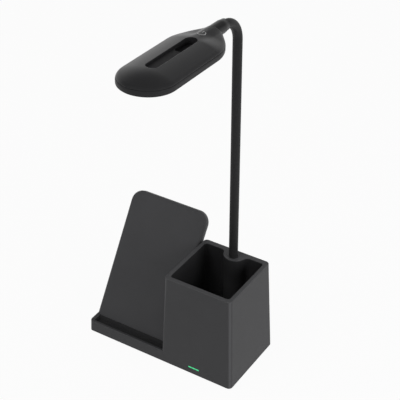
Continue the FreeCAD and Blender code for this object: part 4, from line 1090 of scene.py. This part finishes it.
def backdrop_rays(tree):
    """1 for rays that see the backdrop directly, in a mirror or through glass."""
    path = tree.nodes.new("ShaderNodeLightPath")
    rays = ("Is Camera Ray", "Is Glossy Ray", "Is Transmission Ray")
    return add_maximum(tree, [path.outputs[name] for name in rays])


def add_floor():
    """A pale floor that reads as white and keeps a soft shadow."""
    mesh = bpy.data.meshes.new("floor")
    shape = bmesh.new()
    bmesh.ops.create_grid(shape, x_segments=1, y_segments=1, size=FLOOR_HALF)
    shape.to_mesh(mesh)
    shape.free()
    material, tree, shader = new_material("pale_floor")
    shader.inputs["Base Color"].default_value = (0.60, 0.60, 0.60, 1)
    shader.inputs["Roughness"].default_value = 0.9
    glow = tree.nodes.new("ShaderNodeEmission")
    glow.inputs["Color"].default_value = (1, 1, 1, 1)
    glow.inputs["Strength"].default_value = 1.0
    mix = tree.nodes.new("ShaderNodeMixShader")
    tree.links.new(add_product(tree, backdrop_rays(tree), FLOOR_GLOW), mix.inputs["Fac"])
    tree.links.new(shader.outputs["BSDF"], mix.inputs[1])
    tree.links.new(glow.outputs["Emission"], mix.inputs[2])
    output = next(node for node in tree.nodes if node.type == "OUTPUT_MATERIAL")
    tree.links.new(mix.outputs["Shader"], output.inputs["Surface"])
    mesh.materials.append(material)
    floor = bpy.data.objects.new("floor", mesh)
    bpy.context.scene.collection.objects.link(floor)
    floor.location.z = -FLOOR_DROP


def add_surroundings(scene, strength, ceiling):
    """White light from all round that fades towards the ceiling, seen as plain white.

    Diffuse surfaces get an even light. Mirrors see white walls under a darker ceiling, and the walls
    reach higher on one side.
    """
    world = bpy.data.worlds.new("surroundings")
    world.use_nodes = True
    tree = world.node_tree
    background = next(node for node in tree.nodes if node.type == "BACKGROUND")
    background.inputs["Color"].default_value = (1, 1, 1, 1)
    direction = tree.nodes.new("ShaderNodeTexCoord")
    split = tree.nodes.new("ShaderNodeSeparateXYZ")
    tree.links.new(direction.outputs["Generated"], split.inputs["Vector"])
    screen = tree.nodes.new("ShaderNodeVectorMath")
    screen.operation = "DOT_PRODUCT"
    tree.links.new(direction.outputs["Generated"], screen.inputs[0])
    screen.inputs[1].default_value = SCREEN_SIDE
    low_walls = add_range(tree, split.outputs["Z"], *LOW_WALLS, 1.0, ceiling)
    high_walls = add_range(tree, split.outputs["Z"], *HIGH_WALLS, 1.0, ceiling)
    side = add_range(tree, screen.outputs["Value"], *SCREEN_BLEND, 0.0, 1.0)
    walls = tree.nodes.new("ShaderNodeMix")
    tree.links.new(side, walls.inputs["Factor"])
    tree.links.new(low_walls, walls.inputs["A"])
    tree.links.new(high_walls, walls.inputs["B"])
    even = add_range(tree, split.outputs["Z"], 0.0, 1.0, strength, OVERHEAD * strength)
    level = tree.nodes.new("ShaderNodeMix")
    tree.links.new(backdrop_rays(tree), level.inputs["Factor"])
    tree.links.new(even, level.inputs["A"])
    tree.links.new(walls.outputs["Result"], level.inputs["B"])
    path = tree.nodes.new("ShaderNodeLightPath")
    shown = add_maximum(tree, [path.outputs["Is Camera Ray"], level.outputs["Result"]])
    tree.links.new(shown, background.inputs["Strength"])
    scene.world = world


class LAMP_PT_panel(bpy.types.Panel):
    """Steps and values of the desk lamp"""

    bl_idname = "LAMP_PT_panel"
    bl_label = "Desk Lamp"
    bl_space_type = "VIEW_3D"
    bl_region_type = "UI"
    bl_category = "Desk Lamp"

    def draw(self, context):
        for operator in OPERATORS:
            self.layout.operator(operator.bl_idname)
        for name, group in SETTINGS.items():
            box = self.layout.box()
            for value in group.__annotations__:
                box.prop(getattr(context.scene, name), value)


OPERATORS = (LAMP_OT_housing, LAMP_OT_small_parts, LAMP_OT_gooseneck, LAMP_OT_collar,
             LAMP_OT_screws, LAMP_OT_touch_mark, LAMP_OT_stage)


def register():
    """Add the settings, the operators and the panel."""
    for group in SETTINGS.values():
        bpy.utils.register_class(group)
    for name, group in SETTINGS.items():
        setattr(bpy.types.Scene, name, PointerProperty(type=group))
    for operator in OPERATORS:
        bpy.utils.register_class(operator)
    bpy.utils.register_class(LAMP_PT_panel)


def unregister():
    """Take them out again."""
    bpy.utils.unregister_class(LAMP_PT_panel)
    for operator in reversed(OPERATORS):
        bpy.utils.unregister_class(operator)
    for name in SETTINGS:
        delattr(bpy.types.Scene, name)
    for group in reversed(list(SETTINGS.values())):
        bpy.utils.unregister_class(group)


def main():
    """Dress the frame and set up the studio."""
    register()
    bpy.ops.lamp.housing()
    bpy.ops.lamp.small_parts()
    bpy.ops.lamp.gooseneck()
    bpy.ops.lamp.collar()
    bpy.ops.lamp.screws()
    bpy.ops.lamp.touch_mark()
    bpy.ops.lamp.stage()


if __name__ == "__main__":
    main()
